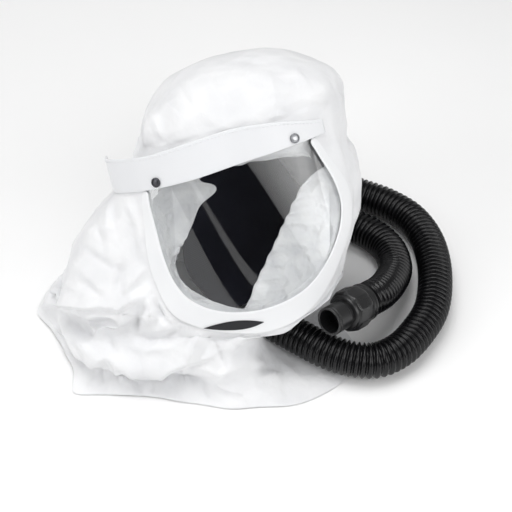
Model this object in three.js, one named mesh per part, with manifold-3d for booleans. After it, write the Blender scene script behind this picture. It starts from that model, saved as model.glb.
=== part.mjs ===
import * as THREE from "three";
import { mergeVertices } from "three/addons/utils/BufferGeometryUtils.js";
import Module from "manifold-3d";

// A disposable respirator hood that lies on its cape, face up and forward: a soft white crown and cape, a
// clear visor behind a white rim, a head harness inside, and a corrugated breathing hose with its connector.
// Millimetres, +Z up, the face towards -Y. Angles are in degrees from the front (-Y) towards the wearer's
// left, which is +X.

// Place of the hood on the surface
const SHIFT = new THREE.Vector3(65.65, -169.55, 0);
const HEAD_PLACE = new THREE.Vector3(-31, 220, 192);
const HEAD_YAW = 5;
const HEAD_ROLL = 11;
const HEAD_RECLINE = 31;

// Cloth
const CLOTH_WALL = 1.6;
const SHELL_COLUMNS = 48;
const SIDE_ROWS = 9;
const CROWN_ROWS = 6;
const CAPE_ROWS = 10;
const GAP = 0.35;
const LOOSE_GAP = 0.8;
const SLIVER = 0.02;

// Crown
const BROW_Z = 22;
const CROWN_HEIGHT = 70;
const CROWN_LEAN = 12;
const CROWN_FULLNESS = 0.92;
const CROWN_LEAN_POWER = 1.2;
const GATHER_COUNT = 12;
const GATHER_DEPTH = 1.6;
const GATHER_CLIMB = 10;
const GATHER_SPREAD = 14;

// Visor, its rim and the brow band
const ARC_RADIUS = 113;
const VISOR_SHEET = 1;
const VISOR_TUCK = 6;
const LIP_WIDTH = 26;
const RIM_END_WIDTH = 9;
const RIM_TOP_GAP = 2.5;
const RIM_THICK = 2;
const CUT_OUTWARD = 30;
const CUT_INWARD = -40;
const BAND_HALF_HEIGHT = 19;
const BAND_THICK = 2;
const BAND_FROM = -97.5;
const BAND_TO = 52.5;
const BAND_STEP = 7.5;
// Height of the band's top edge above its middle, at even steps from its first end to its last
const BAND_TOP = [18, 18.5, 17, 19, 18, 10, -4];
const BROW_RISE = 6;
const BROW_TILT = 9;
const STUD_RADIUS = 5.2;
const STUD_HEIGHT = 2.2;
const STUD_RIGHT_ANGLE = -45;
const STUD_LEFT_ANGLE = 34;
const STUD_DROP = -12;
const LABEL_LENGTH = 60;
const LABEL_HALF_HEIGHT = 4.4;
const LABEL_THICK = 0.6;
const LABEL_ARC = -42;
const LABEL_Z = -177.6;
const LABEL_SLOPE = -0.1;
const LABEL_END = 0.12;

// Breathing hose and its fittings
const HOSE_RADIUS = 20;
const HOSE_SIDES = 12;
const HOSE_STEPS = 44;
const INLET_RADIUS = 23;
const INLET_LENGTH = 22;
const INLET_WALL = 5;
const INLET_FLOOR = 3;
const INLET_CLEAR = 30;
const CUFF_RADIUS = 21.5;
const CUFF_LENGTH = 9;
const COLLAR_RADIUS = 24;
const COLLAR_LENGTH = 27;
const COLLAR_FLATS = 10;
const SPIGOT_RADIUS = 16;
const SPIGOT_BORE = 13.2;
const SPIGOT_LENGTH = 24;
const SPIGOT_BORE_DEPTH = 21;

// Radius of the hood about the head's axis, every 30 degrees from the front, at heights from the brow down
const SIDE_COLUMNS = ["z", "0", "30", "60", "90", "120", "150", "180", "210", "240", "270", "300", "330"];
const SIDE_SECTIONS = [
  [22, 94, 108, 128, 137, 131, 122, 118, 112, 101, 90, 98, 97],
  [-22, 97, 113, 126, 131, 128, 123, 121, 122, 130, 134, 122, 111],
  [-65, 99, 115, 131, 136, 128, 120, 116, 128, 168, 188, 133, 113],
  [-110, 101, 114, 123, 124, 118, 112, 107, 128, 188, 218, 144, 113],
  [-150, 100, 107, 104, 100, 101, 100, 97, 120, 190, 228, 152, 112],
  [-194, 92, 90, 80, 76, 84, 88, 88, 112, 180, 228, 152, 102],
];
// Height of the neck seam in the head's frame, every 30 degrees from the front
const NECK_SEAM = [-193, -184, -168, -164, -162, -154, -148, -136, -124, -126, -150, -186];

// Cape below the neck seam, every 30 degrees: reach from the neck's centre and height of three folds, then
// the reach of the hem
const NECK_CENTRE = new THREE.Vector2(-20, 150);
const HEM_Z = 1.65;
const SEAM_TURN = 5;
const CAPE_COLUMNS = ["angle", "reach1", "z1", "reach2", "z2", "reach3", "z3", "hem"];
const CAPE_SECTIONS = [
  [0, 112, 62, 124, 36, 134, 14, 151],
  [30, 76, 54, 58, 26, 80, 5, 158],
  [60, 72, 52, 62, 20, 82, 5, 152],
  [90, 84, 36, 80, 14, 84, 5, 96],
  [120, 92, 24, 90, 10, 94, 5, 102],
  [150, 106, 15, 120, 6, 136, 4, 150],
  [180, 106, 11, 124, 6, 145, 4, 165],
  [210, 122, 11, 138, 6, 155, 4, 170],
  [240, 172, 15, 180, 9, 187, 5, 196],
  [270, 208, 36, 213, 21, 219, 8, 229],
  [300, 168, 52, 202, 31, 188, 12, 215],
  [330, 126, 64, 143, 34, 126, 13, 152],
];
// Places where the cape is drawn in or pulled out between these: angle, half width in degrees, and the
// change of each reach
const TUCK_COLUMNS = ["angle", "spread", "reach1", "reach2", "reach3", "hem"];
const TUCKS = [
  [286, 10, -4, -12, -14, -22],
  [306, 6, 0, 0, 2, 8],
];

// Long soft folds of the side cloth: angle, half width in degrees, height of the fold's middle, half length,
// and how far it stands out
const FOLD_COLUMNS = ["angle", "spread", "z", "reach", "rise"];
const FOLDS = [
  [246, 9, -90, 60, 7],
  [268, 8, -70, 55, -7],
  [288, 8, -110, 45, 8],
  [304, 6, -130, 40, -6],
  [112, 10, -80, 60, 5],
  [150, 12, -60, 60, -5],
  [205, 12, -70, 60, 5],
];
// Dents of the crown: angle, half width, climb from the brow in degrees, half climb, and depth in hundredths
const DENT_COLUMNS = ["angle", "spread", "climb", "reach", "rise"];
const DENTS = [
  [292, 16, 40, 12, -6],
  [330, 14, 62, 12, 4],
  [40, 16, 50, 14, -5],
  [80, 26, 50, 18, -7],
  [215, 22, 45, 18, -6],
];

// Visor outline on the hood's front, from its top corner at the wearer's right round the chin to the other
// top corner: arc length and height
const VISOR_COLUMNS = ["arc", "z"];
const VISOR_EDGE = [
  [-103, -20],
  [-102, -38],
  [-100, -64],
  [-97, -92],
  [-91, -118],
  [-78, -142],
  [-54, -160],
  [-12, -168],
  [34, -162],
  [64, -146],
  [88, -120],
  [99, -90],
  [97, -58],
  [90, -30],
  [83, -8],
];

// Face seal's elastic edge inside the visor, in the head's frame
const SEAL_COLUMNS = ["x", "y", "z"];
const SEAL_EDGE = [
  [8, -52, -6],
  [-44, -54, -22],
  [-64, -54, -66],
  [-80, -54, -104],
  [-66, -57, -138],
  [-26, -60, -164],
  [2, -57, -138],
  [30, -53, -102],
  [58, -50, -64],
  [58, -50, -20],
];
const SEAL_STEPS = 48;
const SEAL_RUFFLE = 2.2;
const SEAL_WAVES = 12;
const SEAL_WALL = 1.2;
const SEAL_TOP_SHARE = 0.26;
const SEAL_INSET = -3;
const SEAL_SEAT = 1.3;
const SEAL_TURN = 0.13;
const SEAL_SAG = 7;

// Head harness, in the head's frame: a headband, a strap over the crown and a hanging nape pad
const STRAP_THICK = 2;
const HEADBAND_HALF_HEIGHT = 16;
const HEADBAND_RADII = [84, 86, 83, 80, 82, 88.5, 90, 88.5, 82, 80, 83, 86];
const HEADBAND_FRONT_Z = 10;
const HEADBAND_DROP = 32;
const CROWN_STRAP_HALF_WIDTH = 12;
const CROWN_STRAP_RISE = 52;
const CROWN_STRAP_SEAT = 1.2;
const CROWN_STRAP_ROUND = 0.6;
const PAD_COLUMNS = ["z", "back", "half", "curl"];
const PAD_SECTIONS = [
  [-18, 84.6, 40, 10.5],
  [-60, 80, 62, 30],
  [-100, 70, 76, 44],
  [-135, 52, 78, 46],
  [-165, 22, 62, 40],
];
const TAB_WIDTH = 14;
const TAB_HEIGHT = 16;
const TAB_SEAT = 0.1;
const TAB_SPREAD = 5;

// Centreline of the hose from the hood to the connector
const HOSE_ROUTE_COLUMNS = ["x", "y", "z"];
const HOSE_ROUTE = [
  [12, 110, 28],
  [30, 97, 26],
  [52, 81, 25],
  [76, 64, 24.5],
  [102, 53, 23.5],
  [130, 52, 22],
  [157, 68, 21],
  [180, 97, 21],
  [197, 130, 21],
  [205, 168, 21],
  [207, 212, 21],
  [201, 252, 21],
  [184, 288, 21],
  [156, 314, 21],
  [122, 333, 21],
  [82, 358, 21],
  [44, 392, 21],
  [2, 424, 21],
  [-48, 434, 21],
  [-94, 412, 21],
  [-116, 368, 21],
  [-98, 322, 21],
  [-54, 298, 24],
  [0, 294, 26],
  [52, 292, 25],
  [96, 280, 22],
  [132, 262, 21],
  [155, 233, 21],
  [161, 196, 25],
  [151, 158, 36],
  [137, 130, 47],
  [127, 116.5, 53.5],
  [119, 108, 56],
];

const CLOTH = { color: 0xf2f3f4, roughness: 0.85, metalness: 0 };
const RIM_WHITE = { color: 0xf7f8f9, roughness: 0.45, metalness: 0 };
const CLEAR = { color: 0xdfe6ea, roughness: 0.06, metalness: 0, transparent: true, opacity: 0.25 };
const NAVY = { color: 0x14151d, roughness: 0.8, metalness: 0 };
const STEEL = { color: 0x9a9da2, roughness: 0.3, metalness: 0.9 };
const LABEL_GREY = { color: 0x2d2e32, roughness: 0.5, metalness: 0 };
const HOSE_BLACK = { color: 0x141416, roughness: 0.45, metalness: 0 };

const wasm = await Module();
wasm.setup();

/** Named columns of a table row. */
function named(columns, row) {
  return Object.fromEntries(columns.map((name, i) => [name, row[i]]));
}

/** Point of a table row with columns x, y and z. */
function pointOf(columns, row) {
  const { x, y, z } = named(columns, row);
  return new THREE.Vector3(x, y, z);
}

/** Smooth curve through equally spaced values, at t from 0 to 1; it closes on itself when asked. */
function through(values, t, closed) {
  const count = values.length;
  const span = closed ? count : count - 1;
  const at = t * span;
  const start = closed ? Math.floor(at) : Math.min(Math.max(Math.floor(at), 0), count - 2);
  const pick = (i) => values[closed ? ((i % count) + count) % count : Math.min(Math.max(i, 0), count - 1)];
  return catmull(pick(start - 1), pick(start), pick(start + 1), pick(start + 2), at - start);
}

/** Catmull-Rom value between b and c. */
function catmull(a, b, c, d, f) {
  const even = 2 * b + (c - a) * f;
  const odd = (2 * a - 5 * b + 4 * c - d) * f * f + (3 * b - a - 3 * c + d) * f * f * f;
  return 0.5 * (even + odd);
}

/** Signed difference of two angles in degrees, from -180 to 180. */
function turn(a, b) {
  return ((a - b + 540) % 360) - 180;
}

/** Bell curve of unit height. */
function bell(distance, spread) {
  return Math.exp(-((distance / spread) ** 2));
}

/** Closed geometry from points and triangles: equal points joined, empty triangles dropped, faces outward. */
function closedGeometry(points, triangles) {
  const geometry = new THREE.BufferGeometry().setFromPoints(points);
  geometry.setIndex(triangles);
  const merged = mergeVertices(geometry, 1e-4);
  const kept = [];
  let volume = 0;
  const [a, b, c] = [new THREE.Vector3(), new THREE.Vector3(), new THREE.Vector3()];
  for (let i = 0; i < merged.index.count; i += 3) {
    const corners = [merged.index.getX(i), merged.index.getX(i + 1), merged.index.getX(i + 2)];
    if (new Set(corners).size < 3) continue;
    kept.push(...corners);
    a.fromBufferAttribute(merged.attributes.position, corners[0]);
    b.fromBufferAttribute(merged.attributes.position, corners[1]);
    c.fromBufferAttribute(merged.attributes.position, corners[2]);
    volume += a.dot(b.cross(c));
  }
  merged.setIndex(volume < 0 ? kept.reverse() : kept);
  merged.computeVertexNormals();
  return merged;
}

/** Solid sheet between two grids: point(u, v, side) with side 0 inside and 1 outside. */
function sheet(columns, rows, wrap, point) {
  const points = [];
  const across = wrap ? columns : columns + 1;
  for (const side of [0, 1])
    for (let j = 0; j <= rows; j++)
      for (let i = 0; i < across; i++) points.push(point(i / columns, j / rows, side));
  const at = (i, j, side) => side * across * (rows + 1) + j * across + (wrap ? i % columns : i);
  const triangles = [];
  const quad = (a, b, c, d) => triangles.push(a, b, c, a, c, d);
  for (let j = 0; j < rows; j++)
    for (let i = 0; i < columns; i++) {
      quad(at(i, j, 1), at(i + 1, j, 1), at(i + 1, j + 1, 1), at(i, j + 1, 1));
      quad(at(i, j, 0), at(i, j + 1, 0), at(i + 1, j + 1, 0), at(i + 1, j, 0));
    }
  for (let i = 0; i < columns; i++) {
    quad(at(i, 0, 0), at(i + 1, 0, 0), at(i + 1, 0, 1), at(i, 0, 1));
    quad(at(i, rows, 1), at(i + 1, rows, 1), at(i + 1, rows, 0), at(i, rows, 0));
  }
  for (let j = 0; j < rows && !wrap; j++) {
    quad(at(0, j, 0), at(0, j, 1), at(0, j + 1, 1), at(0, j + 1, 0));
    quad(at(columns, j, 1), at(columns, j, 0), at(columns, j + 1, 0), at(columns, j + 1, 1));
  }
  return closedGeometry(points, triangles);
}

/** A point of a surface moved along its normal; surface(u, v) gives the points. */
function thickened(surface, u, v, distance) {
  const step = 0.002;
  const here = surface(u, v);
  const along = surface(u + step, v).sub(surface(u - step, v));
  const up = surface(u, Math.min(v + step, 1)).sub(surface(u, Math.max(v - step, 0)));
  const normal = along.cross(up).normalize();
  return here.addScaledVector(normal, distance);
}

/** Geometry as a solid for cutting. */
function solidOf(geometry) {
  const bare = new THREE.BufferGeometry();
  bare.setAttribute("position", geometry.attributes.position);
  bare.setIndex(geometry.index);
  const merged = mergeVertices(bare, 1e-4);
  const triVerts = new Uint32Array(merged.index.array);
  const vertProperties = merged.attributes.position.array;
  return new wasm.Manifold(new wasm.Mesh({ numProp: 3, vertProperties, triVerts }));
}

/** Cut solid back as geometry, with the finest slivers of the cut closed up. */
function geometryOf(solid) {
  const mesh = solid.simplify(SLIVER).getMesh();
  const points = [];
  for (let i = 0; i < mesh.vertProperties.length; i += 3)
    points.push(new THREE.Vector3().fromArray(mesh.vertProperties, i));
  return closedGeometry(points, Array.from(mesh.triVerts));
}

/** Named mesh with its finish. */
function piece(name, geometry, finish) {
  const mesh = new THREE.Mesh(geometry, new THREE.MeshStandardMaterial(finish));
  mesh.name = name;
  return mesh;
}

const sideFolds = FOLDS.map((row) => named(FOLD_COLUMNS, row));
const crownDents = DENTS.map((row) => named(DENT_COLUMNS, row));

/** Sum of the bumps of a table at an angle and a place along the named column. */
function raised(bumps, angle, column, place) {
  const height = (b) => b.rise * bell(turn(angle, b.angle), b.spread) * bell(place - b[column], b.reach);
  return bumps.reduce((sum, b) => sum + height(b), 0);
}

/** Radius of the hood's side at an angle and height, folds included. */
function sideRadius(angle, z) {
  const heights = SIDE_SECTIONS.map((row) => row[SIDE_COLUMNS.indexOf("z")]);
  let k = 0;
  while (k < heights.length - 2 && z < heights[k + 1]) k++;
  const part = (heights[k] - z) / (heights[k] - heights[k + 1]);
  const t = THREE.MathUtils.clamp((k + part) / (heights.length - 1), 0, 1);
  const turnPart = (((angle % 360) + 360) % 360) / 360;
  const rings = SIDE_SECTIONS.map((row) => through(row.slice(SIDE_COLUMNS.indexOf("0")), turnPart, true));
  return through(rings, t, false) + raised(sideFolds, angle, "z", z);
}

/** Point of the hood's side in the head's frame. */
function sidePoint(angle, z, offset) {
  const radius = sideRadius(angle, z) + offset;
  const a = THREE.MathUtils.degToRad(angle);
  return new THREE.Vector3(radius * Math.sin(a), -radius * Math.cos(a), z);
}

/** Point of the crown at a climb of 0 at the brow to 90 degrees at the top. */
function crownPoint(angle, climb, offset) {
  const base = sidePoint(angle, BROW_Z, offset);
  const c = THREE.MathUtils.degToRad(climb);
  const inward = climb < 90 ? Math.cos(c) ** CROWN_FULLNESS : 0;
  const pleat = Math.cos(THREE.MathUtils.degToRad(angle * GATHER_COUNT));
  const gather = GATHER_DEPTH * pleat * bell(climb - GATHER_CLIMB, GATHER_SPREAD);
  const swell = 1 + (inward * (gather + raised(crownDents, angle, "climb", climb))) / 100;
  const rise = (CROWN_HEIGHT + offset) * Math.sin(c) * swell;
  const x = base.x * inward * swell + CROWN_LEAN * Math.sin(c) ** CROWN_LEAN_POWER;
  return new THREE.Vector3(x, base.y * inward * swell, BROW_Z + rise);
}

/** Point of the front surface at an arc length and height. */
function frontPoint(arc, z, offset) {
  return sidePoint(THREE.MathUtils.radToDeg(arc / ARC_RADIUS), z, offset);
}

const head = new THREE.Group();
head.position.copy(HEAD_PLACE);
head.rotation.set(
  THREE.MathUtils.degToRad(-HEAD_RECLINE),
  THREE.MathUtils.degToRad(-HEAD_ROLL),
  THREE.MathUtils.degToRad(HEAD_YAW),
  "ZXY",
);
head.updateMatrix();

/** Height of the neck seam at an angle. */
function neckSeam(angle) {
  return through(NECK_SEAM, angle / 360, true);
}

/** Point of the hood at an offset from its outer face: v runs from the neck seam to the top of the crown. */
function shellPoint(u, v, offset) {
  const row = v * (SIDE_ROWS + CROWN_ROWS);
  if (row > SIDE_ROWS) return crownPoint(u * 360, ((row - SIDE_ROWS) / CROWN_ROWS) * 90, offset);
  const low = neckSeam(u * 360);
  return sidePoint(u * 360, THREE.MathUtils.lerp(low, BROW_Z, row / SIDE_ROWS), offset);
}

/** Height of the brow band's middle at an angle: it climbs towards the wearer's left. */
function browHeight(angle) {
  return BROW_RISE + BROW_TILT * Math.sin(THREE.MathUtils.degToRad(angle));
}

// U-shaped edge of the visor as arc length and height
const visorRows = VISOR_EDGE.map((row) => named(VISOR_COLUMNS, row));
const visorCurve = new THREE.CatmullRomCurve3(visorRows.map((r) => new THREE.Vector3(r.arc, r.z, 0)));

/** Point of the visor's edge at part u of its length, grown outwards on the surface. */
function visorEdge(u, grow) {
  const edge = visorCurve.getPointAt(u);
  const along = visorCurve.getTangentAt(u);
  return new THREE.Vector2(edge.x + along.y * grow, edge.y - along.x * grow);
}

/** Block through the visor's outline, its edge grown by an amount for each part u and its top raised. */
function visorBlock(grow, raise) {
  return sheet(12, 16, false, (u, v, side) => {
    const right = visorEdge(v * 0.5, grow(v * 0.5));
    const left = visorEdge(1 - v * 0.5, grow(1 - v * 0.5));
    const at = right.lerp(left, u);
    return frontPoint(at.x, at.y + (v === 0 ? raise : 0), side ? CUT_OUTWARD : CUT_INWARD);
  });
}

/** Skin of the hood between two offsets from its outer face. */
function skin(outer, inner) {
  const point = (u, v, side) => shellPoint(u, v, side ? outer : inner);
  return sheet(SHELL_COLUMNS, SIDE_ROWS + CROWN_ROWS, true, point);
}

const opening = solidOf(visorBlock(() => 0, 0));
const shell = geometryOf(solidOf(skin(0, -CLOTH_WALL)).subtract(opening));

// Visor: a clear sheet behind the opening, tucked under its edge all round
const visorFace = -CLOTH_WALL - GAP;
const tucked = solidOf(visorBlock(() => VISOR_TUCK, VISOR_TUCK));
const visor = geometryOf(solidOf(skin(visorFace, visorFace - VISOR_SHEET)).intersect(tucked));

// Rim: a flat moulded strip from one end of the brow band round the chin to the other, widest at the chin
const rimFace = GAP + RIM_THICK;
const rimGrow = (u) => THREE.MathUtils.lerp(RIM_END_WIDTH, LIP_WIDTH, Math.sin(Math.PI * u) ** 1.3);
const rimOutline = solidOf(visorBlock(rimGrow, -RIM_TOP_GAP));
const rim = geometryOf(solidOf(skin(rimFace, GAP)).intersect(rimOutline).subtract(opening));

/** Radius that clears the hood over the whole height of the brow band. */
function bandRadius(angle) {
  const middle = browHeight(angle);
  const heights = [-1, -0.5, 0, 0.5, 1].map((part) => middle + part * BAND_HALF_HEIGHT);
  return Math.max(...heights.map((z) => sideRadius(angle, z)));
}

/** Point of the brow band at an angle, a height from its middle and an offset from its back face. */
function bandPoint(angle, height, offset) {
  const a = THREE.MathUtils.degToRad(angle);
  const radius = bandRadius(angle) + LOOSE_GAP + offset;
  return new THREE.Vector3(radius * Math.sin(a), -radius * Math.cos(a), browHeight(angle) + height);
}

const band = sheet((BAND_TO - BAND_FROM) / BAND_STEP, 3, false, (u, v, side) => {
  const angle = THREE.MathUtils.lerp(BAND_FROM, BAND_TO, u);
  const height = THREE.MathUtils.lerp(-BAND_HALF_HEIGHT, through(BAND_TOP, u, false), v);
  return bandPoint(angle, height, side ? BAND_THICK : 0);
});

/** Domed rivet head seated on the brow band. */
function stud(name, angle, z) {
  const profile = [
    [0, 0],
    [STUD_RADIUS, 0],
    [STUD_RADIUS, STUD_HEIGHT * 0.5],
    [STUD_RADIUS * 0.75, STUD_HEIGHT],
    [STUD_RADIUS * 0.5, STUD_HEIGHT * 0.8],
    [0, STUD_HEIGHT * 0.8],
  ].map(([r, h]) => new THREE.Vector2(r, h));
  const mesh = piece(name, new THREE.LatheGeometry(profile, 16), STEEL);
  const seat = bandPoint(angle, z, BAND_THICK);
  const aside = bandPoint(angle + 2, z, BAND_THICK).sub(bandPoint(angle - 2, z, BAND_THICK));
  const outward = aside.cross(new THREE.Vector3(0, 0, 1)).normalize();
  mesh.quaternion.setFromUnitVectors(new THREE.Vector3(0, 1, 0), outward);
  mesh.position.copy(seat).addScaledVector(outward, GAP);
  return mesh;
}

// Bare lens-shaped plate on the chin of the rim
const lens = sheet(10, 1, false, (u, v, side) => {
  const along = (u - 0.5) * LABEL_LENGTH;
  const half = LABEL_HALF_HEIGHT * Math.max(1 - (2 * u - 1) ** 2, LABEL_END);
  const z = LABEL_Z + LABEL_SLOPE * along + (0.5 - v) * 2 * half;
  return frontPoint(LABEL_ARC + along, z, side ? CUT_OUTWARD : CUT_INWARD);
});
const labelFace = rimFace + GAP + LABEL_THICK;
const label = geometryOf(solidOf(skin(labelFace, labelFace - LABEL_THICK)).intersect(solidOf(lens)));

// Face seal: a soft funnel from the visor's edge to a ruffled elastic opening
const sealCurve = new THREE.CatmullRomCurve3(SEAL_EDGE.map((row) => pointOf(SEAL_COLUMNS, row)), true);

/** Outer edge of the face seal, just behind the visor: along the top, then round the chin. */
function sealRoot(u) {
  const behind = visorFace - VISOR_SHEET - SEAL_SEAT;
  const share = (u - SEAL_TOP_SHARE) / (1 - SEAL_TOP_SHARE);
  const along = visorEdge(1, SEAL_INSET).lerp(visorEdge(0, SEAL_INSET), u / SEAL_TOP_SHARE);
  const at = u < SEAL_TOP_SHARE ? along : visorEdge(share, SEAL_INSET);
  return frontPoint(at.x, at.y, behind);
}

/** Point of the face seal: v runs from its outer edge to the ruffled opening. */
function sealPoint(u, v) {
  const around = ((u % 1) + 1) % 1;
  const root = sealRoot(around);
  const edge = sealCurve.getPoint((around - SEAL_TURN + 1) % 1);
  const sag = Math.sin(Math.PI * v) * SEAL_SAG;
  const wave = SEAL_RUFFLE * v * v * Math.cos(2 * Math.PI * SEAL_WAVES * around);
  return root.lerp(edge, v).add(new THREE.Vector3(0, sag + wave, 0));
}

const seal = sheet(SEAL_STEPS, 3, true, (u, v, side) => thickened(sealPoint, u, v, -side * SEAL_WALL));

/** Point of the headband's outside at an angle and height; the band dips towards the nape. */
function headbandPoint(angle, z, offset) {
  const radius = through(HEADBAND_RADII, (((angle % 360) + 360) % 360) / 360, true) + offset;
  const a = THREE.MathUtils.degToRad(angle);
  const drop = HEADBAND_DROP * 0.5 * (1 - Math.cos(a));
  return new THREE.Vector3(radius * Math.sin(a), -radius * Math.cos(a), HEADBAND_FRONT_Z + z - drop);
}

const headband = sheet(32, 1, true, (u, v, side) => {
  const z = THREE.MathUtils.lerp(-1, 1, v) * HEADBAND_HALF_HEIGHT;
  return headbandPoint(u * 360, z, side ? 0 : -STRAP_THICK);
});

// Strap over the crown, from one side of the headband to the other
const crownStrap = sheet(20, 1, false, (u, v, side) => {
  const a = THREE.MathUtils.degToRad(THREE.MathUtils.lerp(-90, 90, u));
  const inside = side ? 0 : -STRAP_THICK;
  const reach = HEADBAND_RADII[3] - STRAP_THICK - CROWN_STRAP_SEAT + inside;
  const foot = HEADBAND_FRONT_Z - HEADBAND_DROP / 2 - HEADBAND_HALF_HEIGHT;
  const climb = CROWN_STRAP_RISE - foot + inside;
  const z = foot + Math.cos(a) ** CROWN_STRAP_ROUND * climb;
  return new THREE.Vector3(reach * Math.sin(a), (v * 2 - 1) * CROWN_STRAP_HALF_WIDTH, z);
});

/** Tab that carries the headband from the hood behind a stud. */
function harnessTab(name, angle) {
  const near = headbandPoint(angle, 0, GAP);
  const heights = [-1, 1].map((k) => near.z + k * TAB_HEIGHT * 0.5);
  const angles = [-1, 0, 1].map((k) => angle + k * TAB_SPREAD);
  const far = Math.min(...angles.flatMap((a) => heights.map((z) => sideRadius(a, z))));
  const start = Math.hypot(near.x, near.y);
  const end = far - CLOTH_WALL + TAB_SEAT;
  const mesh = piece(name, new THREE.BoxGeometry(TAB_WIDTH, end - start, TAB_HEIGHT), NAVY);
  const a = THREE.MathUtils.degToRad(angle);
  const middle = (start + end) / 2;
  mesh.position.set(middle * Math.sin(a), -middle * Math.cos(a), near.z);
  mesh.rotation.z = a;
  return mesh;
}

// Nape pad: a wide dark panel that hangs from the headband and curls forward under the nape
const padRows = PAD_SECTIONS.map((row) => named(PAD_COLUMNS, row));

/** Point of the nape pad, u from side to side and v from its top to its foot. */
function padPoint(u, v) {
  const back = through(padRows.map((r) => r.back), v, false);
  const half = through(padRows.map((r) => r.half), v, false);
  const z = through(padRows.map((r) => r.z), v, false);
  const across = u * 2 - 1;
  const curl = through(padRows.map((r) => r.curl), v, false);
  return new THREE.Vector3(half * across, back - curl * across * across, z);
}

const padBack = new THREE.Vector3(0, STRAP_THICK, 0);
const pad = sheet(12, 8, false, (u, v, side) => padPoint(u, v).addScaledVector(padBack, side));

head.add(
  piece("hood_shell", shell, CLOTH),
  piece("visor", visor, CLEAR),
  piece("visor_rim", rim, RIM_WHITE),
  piece("brow_band", band, RIM_WHITE),
  stud("stud_right", STUD_RIGHT_ANGLE, STUD_DROP),
  stud("stud_left", STUD_LEFT_ANGLE, STUD_DROP),
  piece("chin_label", label, LABEL_GREY),
  piece("face_seal", seal, CLOTH),
  piece("harness_headband", headband, NAVY),
  piece("harness_crown_strap", crownStrap, NAVY),
  piece("harness_nape_pad", pad, NAVY),
  harnessTab("harness_tab_right", STUD_RIGHT_ANGLE),
  harnessTab("harness_tab_left", STUD_LEFT_ANGLE),
);

// Cape: from the neck seam out over its folds to the hem on the surface
const capeRows = CAPE_SECTIONS.map((row) => named(CAPE_COLUMNS, row));
const capeTucks = TUCKS.map((row) => named(TUCK_COLUMNS, row));

/** Change of one reach of the cape at an angle. */
function capeTuck(angle, column) {
  const changes = capeTucks.map((t) => (t[column] ?? 0) * bell(turn(angle, t.angle), t.spread));
  return changes.reduce((sum, change) => sum + change, 0);
}

/** Point of the cape's outer face: v runs from the hem to the neck seam. */
function capeSurface(u, v) {
  const around = ((u % 1) + 1) % 1;
  const a = around * 2 * Math.PI;
  const section = (column) => through(capeRows.map((r) => r[column]), around, true);
  const read = (column) => section(column) + capeTuck(around * 360, column);
  const seam = shellPoint(around, 0, 0).applyMatrix4(head.matrix);
  const below = shellPoint(around, 0.01, 0).applyMatrix4(head.matrix).sub(seam).normalize();
  const under = seam.clone().addScaledVector(below, -SEAM_TURN);
  seam.addScaledVector(below, -GAP);
  const ring = (reach, z) =>
    new THREE.Vector3(NECK_CENTRE.x + reach * Math.sin(a), NECK_CENTRE.y - reach * Math.cos(a), z);
  const stations = [
    ring(read("hem"), HEM_Z),
    ring(read("reach3"), read("z3")),
    ring(read("reach2"), read("z2")),
    ring(read("reach1"), read("z1")),
    under,
    seam,
  ];
  const coordinate = (axis) => through(stations.map((p) => p[axis]), v, false);
  return new THREE.Vector3(coordinate("x"), coordinate("y"), Math.max(coordinate("z"), HEM_Z));
}

/** Point of the cape's wall; its upper edge lies against the edge of the hood's wall. */
function capePoint(u, v, side) {
  if (side) return capeSurface(u, v);
  if (v < 1) return thickened(capeSurface, u, v, -CLOTH_WALL);
  const edge = shellPoint(u, 0, -CLOTH_WALL).applyMatrix4(head.matrix);
  return edge.add(capeSurface(u, 1)).sub(shellPoint(u, 0, 0).applyMatrix4(head.matrix));
}

// Hose: a tube along its route, square to the fittings at both ends
const hoseCurve = new THREE.CatmullRomCurve3(HOSE_ROUTE.map((row) => pointOf(HOSE_ROUTE_COLUMNS, row)));
const circle = new THREE.Shape().absarc(0, 0, HOSE_RADIUS, 0, Math.PI * 2);
const hose = new THREE.ExtrudeGeometry(circle, {
  extrudePath: hoseCurve,
  steps: HOSE_STEPS,
  curveSegments: HOSE_SIDES / 2,
  bevelEnabled: false,
});

/** Turned fitting with its axis from a point along a direction; its profile is radius and length. */
function fitting(name, profile, sides, start, axis, finish) {
  const points = profile.map(([r, h]) => new THREE.Vector2(r, h));
  const mesh = piece(name, new THREE.LatheGeometry(points, sides), finish);
  mesh.quaternion.setFromUnitVectors(new THREE.Vector3(0, 1, 0), axis);
  mesh.position.copy(start);
  return mesh;
}

// Inlet: a flanged ring through the cape's wall, with the hose's first end against it
const hoseStart = hoseCurve.getPointAt(0);
const inletAxis = hoseCurve.getTangentAt(0).negate();
const inletSeat = hoseStart.clone().addScaledVector(inletAxis, GAP);
const inlet = fitting(
  "hose_inlet",
  [
    [0, 0],
    [INLET_RADIUS, 0],
    [INLET_RADIUS, INLET_LENGTH],
    [INLET_RADIUS - INLET_WALL, INLET_LENGTH],
    [INLET_RADIUS - INLET_WALL, INLET_FLOOR],
    [0, INLET_FLOOR],
  ],
  28,
  inletSeat,
  inletAxis,
  HOSE_BLACK,
);

const inletClear = fitting(
  "inlet_clearance",
  [
    [0, -INLET_CLEAR],
    [INLET_RADIUS + GAP, -INLET_CLEAR],
    [INLET_RADIUS + GAP, INLET_LENGTH + INLET_CLEAR],
    [0, INLET_LENGTH + INLET_CLEAR],
  ],
  28,
  inletSeat,
  inletAxis,
  HOSE_BLACK,
);
inletClear.updateMatrix();
const clearance = inletClear.geometry.clone().applyMatrix4(inletClear.matrix);
const wholeCape = solidOf(sheet(SHELL_COLUMNS, CAPE_ROWS, true, capePoint));
const cape = geometryOf(wholeCape.subtract(solidOf(clearance)));

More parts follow.
